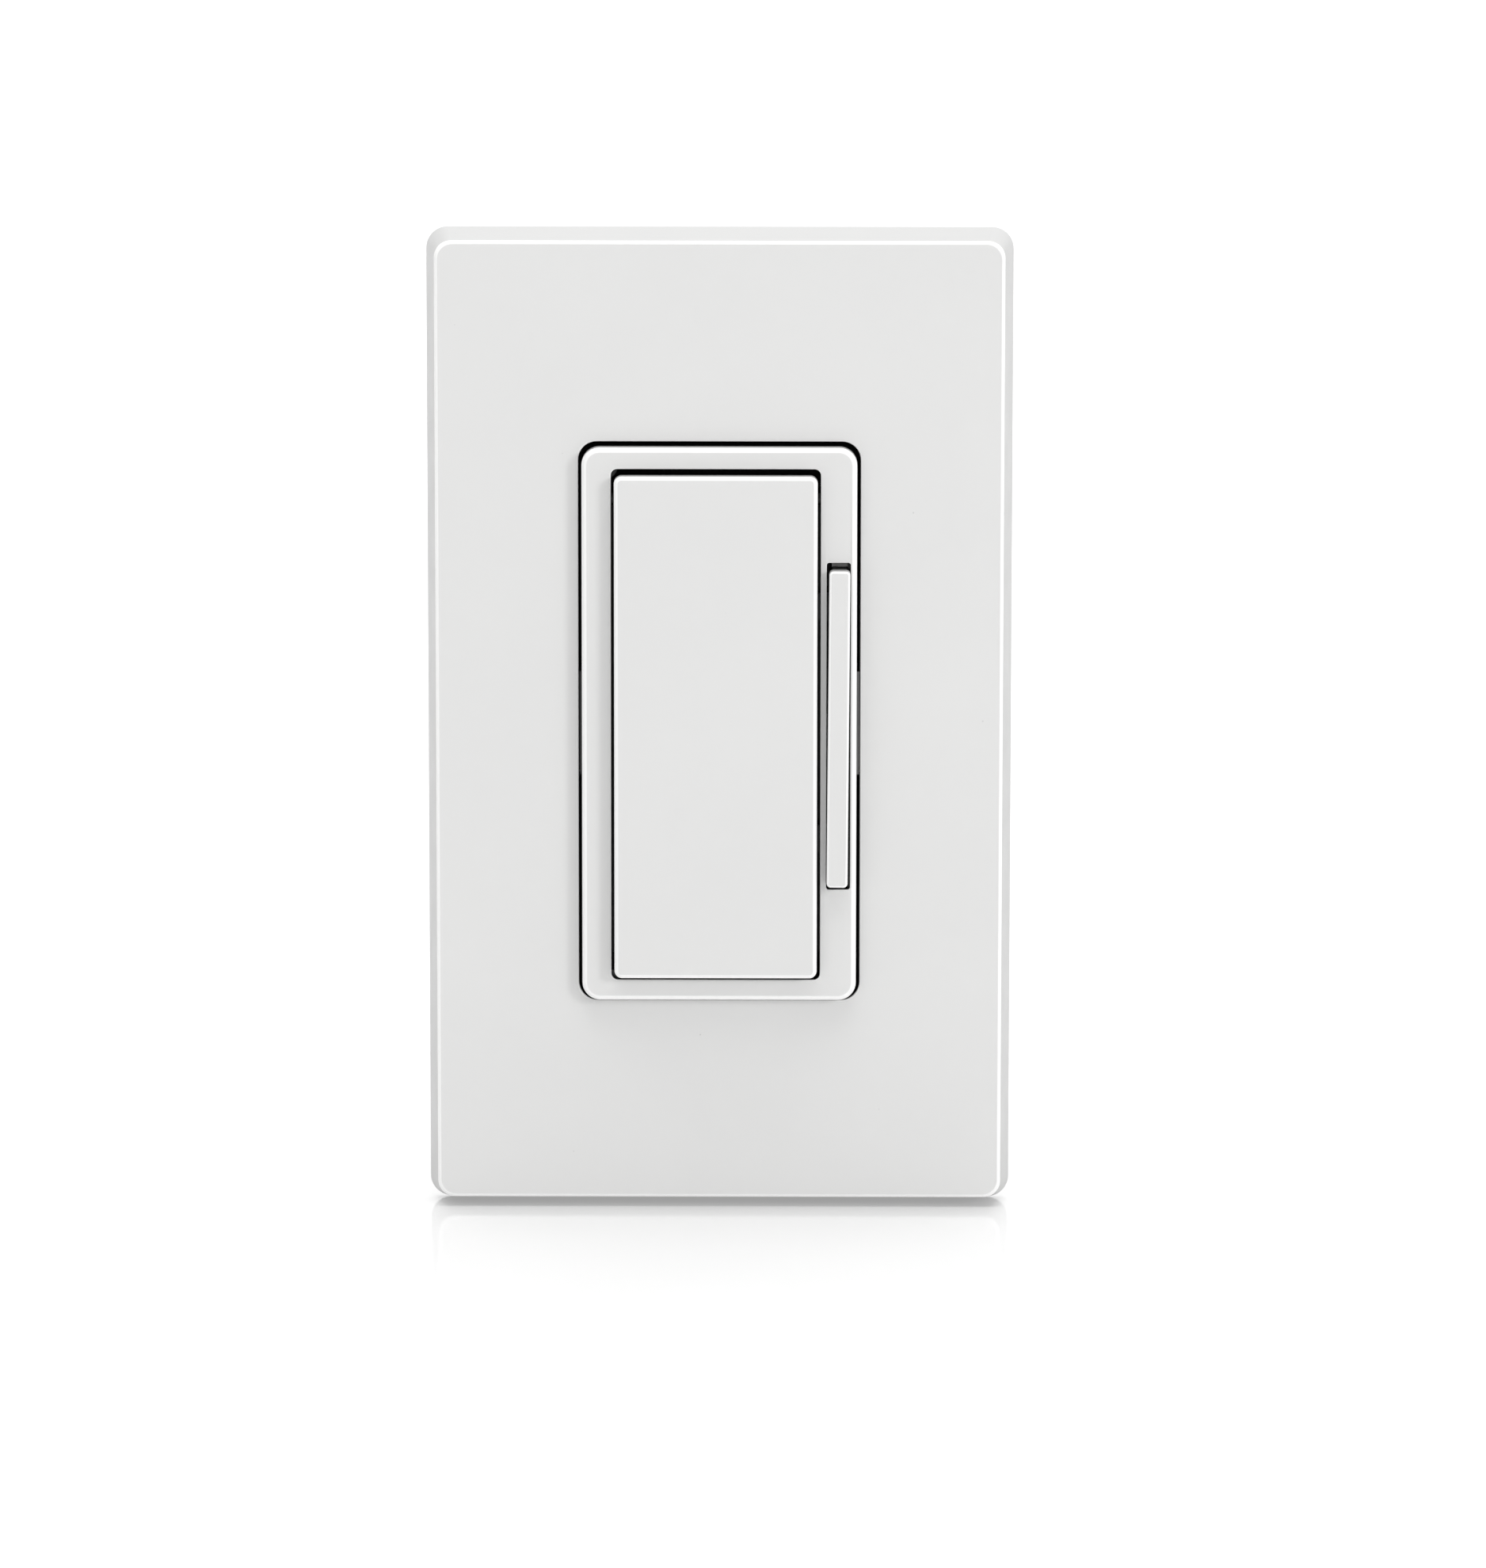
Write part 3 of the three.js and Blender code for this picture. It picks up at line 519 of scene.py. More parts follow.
def strap_aluminium():
    """Rolled aluminium whose room side is a matt near-black: painted shade that keeps the gaps
    round the frame dark.
    """
    nodes = Nodes("strap aluminium")
    clouds = nodes.noise(4.0, detail=5.0, roughness=0.65)
    bare = nodes.ramp(clouds, (0.3, (0.47, 0.48, 0.49)), (0.7, (0.6, 0.61, 0.62)))
    shade_black = nodes.ramp(clouds, (0.3, 0.006), (0.7, 0.01))
    lines = nodes.noise(0.25, detail=3.0, roughness=0.6, stretch=(1, 1, 0.04))
    # painted shade: faces towards the room turn matt near-black
    towards_room = nodes.math("MULTIPLY", nodes.axis(nodes.normal, "Y"), -1.0)
    room_side_shade = nodes.spread(towards_room, 0.0, 1.0, 0.6, 0.8)
    nodes.link(nodes.math("SUBTRACT", 1.0, room_side_shade), nodes.shader.inputs["Metallic"])
    gloss = nodes.math("ADD", nodes.spread(lines, 0.32, 0.5), nodes.math("MULTIPLY", room_side_shade, 0.3))
    return nodes.finish(nodes.mix(room_side_shade, bare, shade_black), gloss, nodes.bump(lines, 0.006))


# ---- wallplate cover

COVER = {
    "back": outline(69.9, 117.6, 2.6),
    "opening": outline(33.5, 67.25, 2.2, z=0.175),
    "front": -6.6,
    "taper": 1.25,
    "wall": 1.9,
    "rim": 1.4,
    "rim_back": -3.35,
    "corner_keep": 0.48,
    "shade_reach": 1.2,
    "hook_reach": 31.2,
    "hook_span": (-1.45, -0.45),
    "hook_length": 7.0,
    "hook_tip": 0.35,
    "hook_slope": 0.6,
    "hook_heights": (-44, -15, 15, 44),
}


def cover_plastic():
    opening, reach = COVER["opening"], COVER["shade_reach"]
    near = outline(opening["width"] + reach, opening["height"] + reach, reach, z=opening["z"])
    # painted shade in the gap round the opening
    return white_plastic("cover plastic", (*COVER_GAP, near, GAP_SHADE))


def cover_shell():
    front, wall = COVER["front"], COVER["wall"]
    inner = front + wall
    inner_inset = COVER["taper"] * inner / front + wall
    side = rounded_path([
        (FAR, inner, 0), (inner_inset, inner, 0.6), (wall, 0, 0.2), (0, 0, 0.25),
        (COVER["taper"], front, 0.5), (FAR, front, 0),
    ])
    rim = -COVER["rim"]
    opening = rounded_path([
        (-FAR, front, 0), (0, front, 0.22), (0, COVER["rim_back"], 0.12),
        (rim, COVER["rim_back"], 0.12), (rim, inner, 0.35), (-FAR, inner, 0),
    ])
    bm = bmesh.new()
    outer = add_family(bm, COVER["back"], side, COVER["corner_keep"])
    hole = add_family(bm, COVER["opening"], opening, 0.6)
    join_loops(bm, outer[-1], hole[0])
    join_loops(bm, hole[-1], outer[0])
    shell = mesh_object(bm, "cover_shell")
    combine(shell, cover_hooks(), "UNION")
    return seat(smooth(shell), "wallplate_cover", cover_plastic())


def cover_hooks():
    """The snap hooks inside the side walls, each with a sloped lead-in."""
    low, high = COVER["hook_span"]
    half = COVER["hook_length"] / 2
    wall_middle = COVER["back"]["width"] / 2 - COVER["wall"] / 2
    reach, tip = COVER["hook_reach"], COVER["hook_tip"]
    section = (
        (wall_middle, low), (reach, low), (reach, low + tip),
        (reach + COVER["hook_slope"], high), (wall_middle, high),
    )
    hooks = []
    for z in COVER["hook_heights"]:
        for side in (1, -1):
            bm = bmesh.new()
            ends = [
                [bm.verts.new(Vector((side * x, y, z + end)) * MM) for x, y in section]
                for end in (-half, half)
            ]
            join_loops(bm, *ends)
            for end in ends:
                bm.faces.new(end)
            hooks.append(mesh_object(bm, "hook"))
    return hooks


# ---- bracket and strap

BOX_SCREW_Z = 83.34 / 2
PLATE_SCREW_Z = 96.82 / 2
ENDS = (1, -1)

BRACKET = {
    "plate": outline(63.8, 110, 2),
    "opening": outline(33.8, 67.6, 2.2),
    "front": -3.25,
    "back": -1.65,
    "window": (8.5, 40, 1.5, 24.8),  # width, height, radius, x
    "box_hole": 4.3,
    "plate_hole": 1.85,
    "pocket_depth": 0.7,
    "pockets": ((14.5, 8.5, 20.5, 47.5), (10.0, 12.0, 24.6, 30.5)),  # width, height, x, z
    "pocket_radius": 1.2,
}


def bracket_plate():
    front, back = BRACKET["front"], BRACKET["back"]
    through = (front - CLEAR, back + CLEAR)
    plate = slab("bracket_plate", BRACKET["plate"], front, back, 0.25)
    width, height, radius, x = BRACKET["window"]
    cuts = [shape_tool(BRACKET["opening"], *through)]
    for end in ENDS:
        cuts.append(shape_tool(outline(width, height, radius, end * x), *through))
        cuts.append(shape_tool(disc(BRACKET["box_hole"], 0, end * BOX_SCREW_Z), *through))
        cuts.append(shape_tool(disc(BRACKET["plate_hole"], 0, end * PLATE_SCREW_Z), *through))
    cuts += bracket_pockets()
    combine(plate, cuts, "DIFFERENCE")
    bevelled(plate, 0.12)
    return seat(smooth(plate), "wallplate_bracket", moulded("bracket plastic"))


def bracket_pockets():
    """Shallow pockets behind the bracket that leave a rim and ribs standing."""
    back = BRACKET["back"]
    pockets = []
    for side in ENDS:
        for end in ENDS:
            for width, height, x, z in BRACKET["pockets"]:
                place = (side * x, end * z)
                pockets.append(outline(width, height, BRACKET["pocket_radius"], *place))
    depth = back - BRACKET["pocket_depth"]
    return [shape_tool(shape, depth, back + CLEAR) for shape in pockets]


STRAP = {
    "front": -1.6,
    "back": 0.0,
    "body": outline(44, 71, 1.5),
    "ears": outline(23.8, 106.4, 2.5),
    "tab": outline(11, 12, 1.5, -15.5, -36.5),
    "header_window": outline(23, 6, 1.0, z=-18),
    "leg_slot": (2.0, 13.2, 0.4, 16.3),  # width, height, radius, x
    "box_slot": (6.4, 4.4, 2.1),  # width, height, radius
    "plate_hole": 1.8,
    "frame_hole": (1.4, 14.0, 31.2),  # radius, x, z
    "triac_hole": (1.5, 9.8),  # radius, z
    "ground_hole": (2.0, -16.5, -38.3),  # radius, x, z
    "score": {"x": 7.6, "half_width": 0.2, "span": (36.5, 52.5), "depth": 0.25},
}


def strap_plate():
    front, back = STRAP["front"], STRAP["back"]
    through = (front - CLEAR, back + CLEAR)
    plate = slab("strap_plate", STRAP["body"], front, back, 0.2)
    combine(plate, [
        shape_tool(STRAP["ears"], front, back), shape_tool(STRAP["tab"], front, back),
    ], "UNION")
    shapes = [STRAP["header_window"], disc(STRAP["triac_hole"][0], 0, STRAP["triac_hole"][1])]
    shapes.append(disc(*STRAP["ground_hole"]))
    slot_width, slot_height, slot_radius, slot_x = STRAP["leg_slot"]
    hole, boss_x, boss_z = STRAP["frame_hole"]
    for end in ENDS:
        shapes.append(outline(slot_width, slot_height, slot_radius, end * slot_x))
        shapes.append(outline(*STRAP["box_slot"], z=end * BOX_SCREW_Z))
        shapes.append(disc(STRAP["plate_hole"], 0, end * PLATE_SCREW_Z))
        shapes += [disc(hole, side * boss_x, end * boss_z) for side in ENDS]
    cuts = [shape_tool(shape, *through) for shape in shapes]
    combine(plate, cuts + score_lines(), "DIFFERENCE")
    bevelled(plate, 0.12)
    return seat(smooth(plate), "mounting_strap", strap_aluminium())


def score_lines():
    """Tools for the break-off lines along both sides of each ear, front and back."""
    front, back, score = STRAP["front"], STRAP["back"], STRAP["score"]
    half, depth = score["half_width"], score["depth"]
    cuts = []
    for end in ENDS:
        for side in (-1, 1):
            x = side * score["x"]
            z0, z1 = sorted(end * z for z in score["span"])
            cuts.append(box_tool((x - half, back - depth, z0), (x + half, back + CLEAR, z1)))
            cuts.append(box_tool((x - half, front - CLEAR, z0), (x + half, front + depth, z1)))
    return cuts


# ---- face frame

BEZEL = {
    "outer": outline(32.7, 66.5, 2.15),
    "hollow": outline(30.74, 64.1, 1.0, x=0.22),
    "paddle_opening": outline(24.86, 61.4, 0.75, x=-0.41),
    "slot": outline(2.84, 39.3, 0.3, x=14.17, z=-0.1),
    "front": -8.3,
    "face_back": -6.8,
    "back": -1.75,
    "edge": 0.7,
}
SNAP_LEG = {"half_height": 6.2, "front": -6.0, "back": 1.9, "pad": 0.3, "barb": 0.6, "wall": 0.76}
BOSS = {"x": 14.0, "z": 31.2, "radius": 2.0, "hole": 1.3, "hole_front": -5.6}
PADDLE_PIVOT = {"y": -5.2, "z": 27.0, "radius": 1.0, "seat": 1.1, "tips": (-13.8, 13.0)}
BAR_PIVOT = {"y": -5.4, "z": 0.0, "radius": 0.95, "seat": 1.05, "tips": (12.08, 16.25)}
SADDLE = {"x": ((-13.9, -12.9), (12.1, 13.1)), "half_height": 2.4, "back": -3.9}
BAR_SADDLE = {"x": (12.02, 12.75), "half_height": 3.0}


def bezel_plastic():
    """White plastic, with painted shade at the foot of the gaps round it and in its openings. The
    painted shade on the pad of the right snap leg is a lighter grey, so the pad shows in the gap."""
    openings = outline(31.4, 62.6, 1)
    side = BEZEL["outer"]["width"] / 2
    pad = outline(SNAP_LEG["pad"] * 2, SNAP_LEG["half_height"] * 2, 0.1, side)
    return white_plastic(
        "frame plastic",
        (*FRAME_GAP, None, GAP_SHADE),
        (*OPENING_GAP, openings, GAP_SHADE),
        (*PAD_DEPTH, pad, PAD_SHADE),
    )


def bezel():
    front, face_back, back = BEZEL["front"], BEZEL["face_back"], BEZEL["back"]
    bm = bmesh.new()
    hollow = add_family(bm, BEZEL["hollow"], rounded_path([
        (FAR, face_back, 0), (0, face_back, 0.3), (0, back, 0.15), (-FAR, back, 0),
    ], steps=4))
    outer = add_family(bm, BEZEL["outer"], rounded_path([
        (FAR, back, 0), (0, back, 0.15), (0, front, BEZEL["edge"]), (FAR, front, 0),
    ], steps=8))
    join_loops(bm, hollow[-1], outer[0])
    openings = []
    for shape, edge in ((BEZEL["paddle_opening"], 0.16), (BEZEL["slot"], 0.1)):
        path = rounded_path([
            (-FAR, front, 0), (0, front, edge), (0, face_back, 0.1), (-FAR, face_back, 0),
        ], steps=4)
        openings.append(add_family(bm, shape, path))
    fill_between(bm, outer[-1], *(loops[0] for loops in openings))
    fill_between(bm, hollow[0], *(loops[-1] for loops in openings))
    shell = mesh_object(bm, "bezel")
    combine(shell, bezel_fittings(), "UNION")
    combine(shell, bezel_cuts(), "DIFFERENCE")
    return seat(smooth(shell), "face_frame", bezel_plastic())


def bezel_fittings():
    """The snap legs, screw bosses and pivot saddles behind the frame's face."""
    face = BEZEL["outer"]["width"] / 2
    root = BEZEL["face_back"] - 0.5
    tall = SNAP_LEG["half_height"]
    fittings = []
    for side in ENDS:
        near, far = face - SNAP_LEG["wall"], face + SNAP_LEG["pad"]
        x0, x1 = sorted((side * near, side * far))
        fittings.append(box_tool((x0, SNAP_LEG["front"], -tall), (x1, SNAP_LEG["back"], tall)))
        x0, x1 = sorted((side * (face - 0.2), side * (far + SNAP_LEG["barb"])))
        fittings.append(box_tool((x0, 0.1, -tall), (x1, SNAP_LEG["back"] - 0.01, tall - 0.01)))
        for end in ENDS:
            x, z = side * BOSS["x"], end * BOSS["z"]
            fittings.append(rod_tool(BOSS["radius"], (x, root, z), (x, BEZEL["back"] - 0.02, z)))
    half, z = SADDLE["half_height"], PADDLE_PIVOT["z"]
    for x0, x1 in SADDLE["x"]:
        fittings.append(box_tool((x0, root, z - half), (x1, SADDLE["back"], z + half)))
    half, (x0, x1) = BAR_SADDLE["half_height"], BAR_SADDLE["x"]
    fittings.append(box_tool((x0, root, -half), (x1, SADDLE["back"], half)))
    return fittings


def pivot_seat(pivot, x0, x1, back):
    """The tools that cut a round seat open towards the wall."""
    radius, y, z = pivot["seat"], pivot["y"], pivot["z"]
    return [
        rod_tool(radius, (x0, y, z), (x1, y, z)),
        box_tool((x0, y, z - radius), (x1, back, z + radius)),
    ]


def bezel_cuts():
    cuts = []
    for x0, x1 in SADDLE["x"]:
        cuts += pivot_seat(PADDLE_PIVOT, x0 - 0.1, x1 + 0.1, BEZEL["back"])
    start, end = BAR_SADDLE["x"][0] - 0.1, BEZEL["outer"]["width"] / 2
    cuts += pivot_seat(BAR_PIVOT, start, end, SNAP_LEG["back"] + 1)
    for side in ENDS:
        for end in ENDS:
            x, z = side * BOSS["x"], end * BOSS["z"]
            cuts.append(rod_tool(BOSS["hole"], (x, BOSS["hole_front"], z), (x, 1, z), 24))
    return cuts


# ---- paddle and bar

PADDLE = {
    "outer": outline(24.13, 60.3, 0.9, x=-0.41, z=-0.15),
    "front": -10.0,
    "back": -7.4,
    "edge": 0.55,
    "wall": 1.2,
    "face": 1.4,
    "lug": (1.4, 2.1, -4.1, 0.2),  # width, half height, back, inset
    "pusher_radius": 1.3,
    "pusher_z": -22.0,
    "pusher_back": -4.95,
    "rib": (1.2, 5.0, -7.0),  # width, half height, back
}
BAR = {
    "outer": outline(2.5, 38.0, 0.5, z=-0.25),
    "front": -10.1,
    "back": -5.0,
    "edge": 0.3,
    "lean": math.radians(0.37),
    "x": 14.17,
    "arm": (9.6, 14.0, 3.2, -6.0, -4.95),  # x, z, width, front, back
    "stop": (1.9, -6.2, 17.0, 20.6),  # width, front, inner z, outer z
    "gap_x": 11.84,  # the middle of the gap that the arms cross behind
}


def soft_front(bm, shape, front, back, edge, steps=8):
    """The outside of a block whose front edge is rounded, from its back edge to its front face."""
    path = rounded_path([
        (FAR, back, 0), (0, back, 0.08), (0, front, edge), (FAR, front, 0),
    ], steps=steps)
    loops = add_family(bm, shape, path)
    bm.faces.new(loops[-1])
    return loops


def paddle_shell():
    shape, front, back = PADDLE["outer"], PADDLE["front"], PADDLE["back"]
    inner, wall = front + PADDLE["face"], PADDLE["wall"]
    bm = bmesh.new()
    outer = soft_front(bm, shape, front, back, PADDLE["edge"])
    hollow = add_family(bm, shape, rounded_path([
        (-FAR, back, 0), (wall, back, 0.08), (wall, inner, 0.3), (FAR, inner, 0),
    ], steps=4))
    bm.faces.new(hollow[-1])
    join_loops(bm, hollow[0], outer[0])
    shell = mesh_object(bm, "paddle_shell")
    combine(shell, paddle_fittings(inner - 0.3), "UNION")
    # painted shade where the paddle sits in its opening
    plastic = white_plastic("paddle plastic", (*PADDLE_GAP, None, GAP_SHADE))
    return seat(smooth(shell), "paddle", plastic)


def paddle_fittings(root):
    """The pivot lugs and stubs and the pusher behind the paddle's face."""
    shape = PADDLE["outer"]
    lug_width, lug_half, lug_back, lug_inset = PADDLE["lug"]
    left = shape["x"] - shape["width"] / 2 + lug_inset
    right = shape["x"] + shape["width"] / 2 - lug_inset
    y, z, radius = PADDLE_PIVOT["y"], PADDLE_PIVOT["z"], PADDLE_PIVOT["radius"]
    tip_left, tip_right = PADDLE_PIVOT["tips"]
    x, push_z = shape["x"], PADDLE["pusher_z"]
    rib_width, rib_half, rib_back = PADDLE["rib"]
    rib_low = (x - rib_width / 2, root, push_z - rib_half)
    rib_high = (x + rib_width / 2, rib_back, push_z + rib_half)
    return [
        box_tool((left, root, z - lug_half), (left + lug_width, lug_back, z + lug_half)),
        box_tool((right - lug_width, root, z - lug_half), (right, lug_back, z + lug_half)),
        rod_tool(radius, (tip_left, y, z), (left + lug_width / 2, y, z)),
        rod_tool(radius, (right - lug_width / 2, y, z), (tip_right, y, z)),
        rod_tool(PADDLE["pusher_radius"], (x, root, push_z), (x, PADDLE["pusher_back"], push_z)),
        box_tool(rib_low, rib_high),
    ]


def rocker_bar():
    bm = bmesh.new()
    loops = soft_front(bm, BAR["outer"], BAR["front"], BAR["back"], BAR["edge"])
    bm.faces.new(loops[0])
    piece = mesh_object(bm, "rocker_bar")
    width, stop_front, inner, outer = BAR["stop"]
    stops = []
    for end in ENDS:
        z0, z1 = sorted((end * inner, end * outer))
        stops.append(box_tool((-width / 2, stop_front, z0), (width / 2, BAR["back"] - 0.01, z1)))
    combine(piece, stops, "UNION")
    piece.data.transform(
        Matrix.Translation((BAR["x"] * MM, 0, 0)) @ Matrix.Rotation(BAR["lean"], 4, "Y")
    )
    arm_x, arm_z, arm_width, arm_front, arm_back = BAR["arm"]
    half = arm_width / 2
    fittings = []
    for end in ENDS:
        z = end * arm_z
        low = (arm_x - half, arm_front, z - half)
        fittings.append(box_tool(low, (BAR["x"], arm_back, z + half)))
    y, (start, tip) = BAR_PIVOT["y"], BAR_PIVOT["tips"]
    fittings.append(rod_tool(BAR_PIVOT["radius"], (start, y, 0), (tip, y, 0)))
    combine(piece, fittings, "UNION")
    # painted shade on the bar in its slot and on its arms behind the paddle's gap
    in_slot = outline(4, BAR["outer"]["height"] + 0.2, 1, BAR["x"], BAR["outer"]["z"])
    behind_gap = outline(1.2, BAR["outer"]["height"], 0.1, BAR["gap_x"])
    gaps = [(*PADDLE_GAP, shape, GAP_SHADE) for shape in (in_slot, behind_gap)]
    plastic = white_plastic("bar plastic", *gaps)
    return seat(smooth(piece), "dim_bar", plastic)


# ---- screws

BOX_SCREW = {"head": 3.4, "height": 1.9, "shank": 1.7, "pitch": 0.79}
PLATE_SCREW = {"head": 3.1, "height": 1.1, "shank": 1.7, "pitch": 0.79}
HOUSING_SCREW = {"head": 2.5, "height": 1.7, "shank": 1.2, "pitch": 0.9}
TRIAC_SCREW = {"head": 2.7, "height": 1.8, "shank": 1.4, "pitch": 0.7}
TERMINAL_SCREW = {"head": 3.4, "height": 1.9, "shank": 1.8, "pitch": 0.8}
GROUND_SCREW = {"head": 3.5, "height": 2.0, "shank": 1.9, "pitch": 0.79}
THREAD_SIDES = 28
THREAD_RINGS = 7  # rings to a turn of thread
THREAD_DEPTH = 0.17  # as a share of the shank's radius
CREST_SHARPNESS = 1.2
POINT = {"length": 0.9, "radius": 0.55}  # the tapered end, as shares of the shank's radius
HEAD = {"rim": 0.42, "steps": 8, "skirt": 0.12}  # the rim is a share of the head's height
SLOT = {"depth": 0.5, "half_width": 0.13, "reach": 1.2, "cross_reach": 0.55, "cross_width": 0.9}


def head_profile(spec):
    """A domed head's (radius, y) points from its middle to the shank, with y towards the shank."""
    head, height, shank = spec["head"], spec["height"], spec["shank"]
    rim, skirt = height * HEAD["rim"], HEAD["skirt"]
    points = [(head * 0.04, -height)]
    for step in range(1, HEAD["steps"] + 1):
        angle = math.radians(90 * step / HEAD["steps"])
        points.append((head * math.sin(angle), -rim - (height - rim) * math.cos(angle)))
    points += [(head, -rim / 2), (head, -skirt), (head - skirt, 0), (shank * 0.9, 0)]
    return points


def screw_mesh(name, spec, length):
    """A screw along +Y from its head's seat at the origin: a domed head with a combination drive
    on a threaded shank."""
    shank, pitch = spec["shank"], spec["pitch"]
    depth = shank * THREAD_DEPTH
    profile = [(radius, y, 0.0) for radius, y in head_profile(spec)]
    rings = max(6, round(length / pitch * THREAD_RINGS))
    for ring in range(1, rings + 1):
        y = length * ring / rings
        runout = min(1.0, ring / THREAD_RINGS, (length - y) / pitch + 0.15)
        taper = min(1.0, (length - y) / (shank * POINT["length"]) + POINT["radius"])
        profile.append(((shank - depth) * taper, y, depth * runout))
    bm = bmesh.new()
    loops = []
    for radius, y, thread in profile:
        loop = []
        for side in range(THREAD_SIDES):
            phase = (y / pitch - side / THREAD_SIDES) % 1.0
            here = radius + thread * (1 - abs(2 * phase - 1)) ** CREST_SHARPNESS
            angle = 2 * math.pi * side / THREAD_SIDES
            loop.append(Vector((here * math.cos(angle), y, here * math.sin(angle))))
        loops.append(add_loop(bm, loop))
    for first, second in zip(loops, loops[1:]):
        join_loops(bm, first, second)
    bm.faces.new(loops[0])
    bm.faces.new(loops[-1])
    piece = mesh_object(bm, name)
    return combine(piece, drive_slots(spec), "DIFFERENCE")


def drive_slots(spec):
    """A full slot and a shorter one across it."""
    head, height = spec["head"], spec["height"]
    top, bottom = -height - CLEAR, -height * SLOT["depth"]
    half, reach = head * SLOT["half_width"], head * SLOT["reach"]
    cross_half, cross_reach = half * SLOT["cross_width"], head * SLOT["cross_reach"]
    return [
        box_tool((-reach, top, -half), (reach, bottom, half)),
        box_tool((-cross_half, top, -cross_reach), (cross_half, bottom - 0.1, cross_reach)),
    ]


def screw(node, spec, towards, turn, material):
    """A detailed screw in a CAD screw's place, with its head towards a direction."""
    low, high = node_box(node)
    towards = Vector(towards)
    axis = max(range(3), key=lambda i: abs(towards[i]))
    seat_point = (low + high) / 2
    length = high[axis] - low[axis] - spec["height"]
    tip = high[axis] if towards[axis] > 0 else low[axis]
    seat_point[axis] = tip - towards[axis] * spec["height"]
    piece = screw_mesh(f"{node}_detail", spec, length)
    facing = Vector((0, -1, 0)).rotation_difference(towards).to_matrix().to_4x4()
    twist = Matrix.Rotation(math.radians(turn), 4, "Y")
    piece.data.transform(Matrix.Translation(seat_point * MM) @ facing @ twist)
    return seat(smooth(piece, 40.0), node, material)


def screws(zinc, yellow, green):
    room, wall = (0, -1, 0), (0, 1, 0)
    screw("box_screw_top", BOX_SCREW, room, 78, zinc)
    screw("box_screw_bottom", BOX_SCREW, room, 12, zinc)
    screw("bracket_screw_top", PLATE_SCREW, room, 90, zinc)
    screw("bracket_screw_bottom", PLATE_SCREW, room, 52, zinc)
    for i, turn in enumerate((15, 100, 62, 140), start=1):
        screw(f"housing_screw_{i}", HOUSING_SCREW, wall, turn, zinc)
    screw("triac_screw", TRIAC_SCREW, wall, 30, zinc)
    screw("ground_screw", GROUND_SCREW, wall, 35, green)
    terminals = (
        ("line", 1, 20, yellow, "brass"),
        ("load", 1, 75, yellow, "brass"),
        ("neutral", -1, 110, zinc, "zinc_steel"),
        ("traveler", -1, 48, yellow, "brass"),
    )
    for name, side, turn, metal_used, slot in terminals:
        screw(f"{name}_terminal_screw", TERMINAL_SCREW, (side, 0, 0), turn, metal_used)


# ---- housing and terminal clamps

HOUSING = {
    "body": outline(44, 57, 2.2),
    "flange": outline(44, 68.4, 2.2),
    "front": 0.1,
    "flange_back": 6.1,
    "back": 30.0,
    "wall": 1.6,
    "window": 9.0,
    "window_y": 16.0,
    "window_z": 9.6,
    "wire_x": 16.9,
    "wire_spread": 2.6,
    "wire_hole": 1.4,
    "funnel": {"depth": 0.9, "flare": 0.85, "proud": 0.3},
    "label": outline(20, 36, 1.0),
    "label_depth": 0.3,
    "screw_hole": 1.4,
    "rib": {"x": (-7.5, 0.0, 7.5), "half_width": 0.6, "length": 6.5, "root": 0.5, "inset": 1.2},
    "ejector": {"x": 13.0, "z": 23.5, "radius": 2.0, "depth": 0.25},
    "gauge": {"front": 22.2, "short_of_back": 1.6, "z": (3.2, 4.2), "depth": 0.3},
}


def housing_shell():
    body, front, back, wall = (HOUSING[key] for key in ("body", "front", "back", "wall"))
    bm = bmesh.new()
    loops = add_family(bm, body, rounded_path([
        (FAR, front, 0), (0, front, 0.15), (0, back, 1.1), (FAR, back, 0),
    ]))
    bm.faces.new(loops[0])
    bm.faces.new(loops[-1])
    shell = mesh_object(bm, "housing_shell")
    flange = slab("flange", HOUSING["flange"], front, HOUSING["flange_back"], 0.4)
    combine(shell, [flange] + housing_ribs(), "UNION")
    cavity = outline(body["width"] - 2 * wall, body["height"] - 2 * wall, body["radius"] - wall)
    combine(shell, [shape_tool(cavity, front - CLEAR, back - wall)], "DIFFERENCE")
    combine(shell, housing_cuts(), "DIFFERENCE")
    bevelled(shell, 0.15)
    return seat(smooth(shell), "back_housing", moulded("housing plastic"))


def housing_ribs():
    """Gussets between the flange and the body's top and bottom walls."""
    body_top, flange_top = HOUSING["body"]["height"] / 2, HOUSING["flange"]["height"] / 2
    rib = HOUSING["rib"]
    root, tip = rib["root"], flange_top - rib["inset"]
    y0, y1 = HOUSING["flange_back"], HOUSING["flange_back"] + rib["length"]
    corners = (
        (y0 - root, body_top - root), (y1, body_top - root), (y1, body_top), (y0, tip),
        (y0 - root, tip),
    )
    ribs = []
    for end in ENDS:
        for x in rib["x"]:
            bm = bmesh.new()
            sides = [
                [bm.verts.new(Vector((x + half, y, end * z)) * MM) for y, z in corners]
                for half in (-rib["half_width"], rib["half_width"])
            ]
            join_loops(bm, *sides)
            for side in sides:
                bm.faces.new(side)
            ribs.append(mesh_object(bm, "rib"))
    return ribs


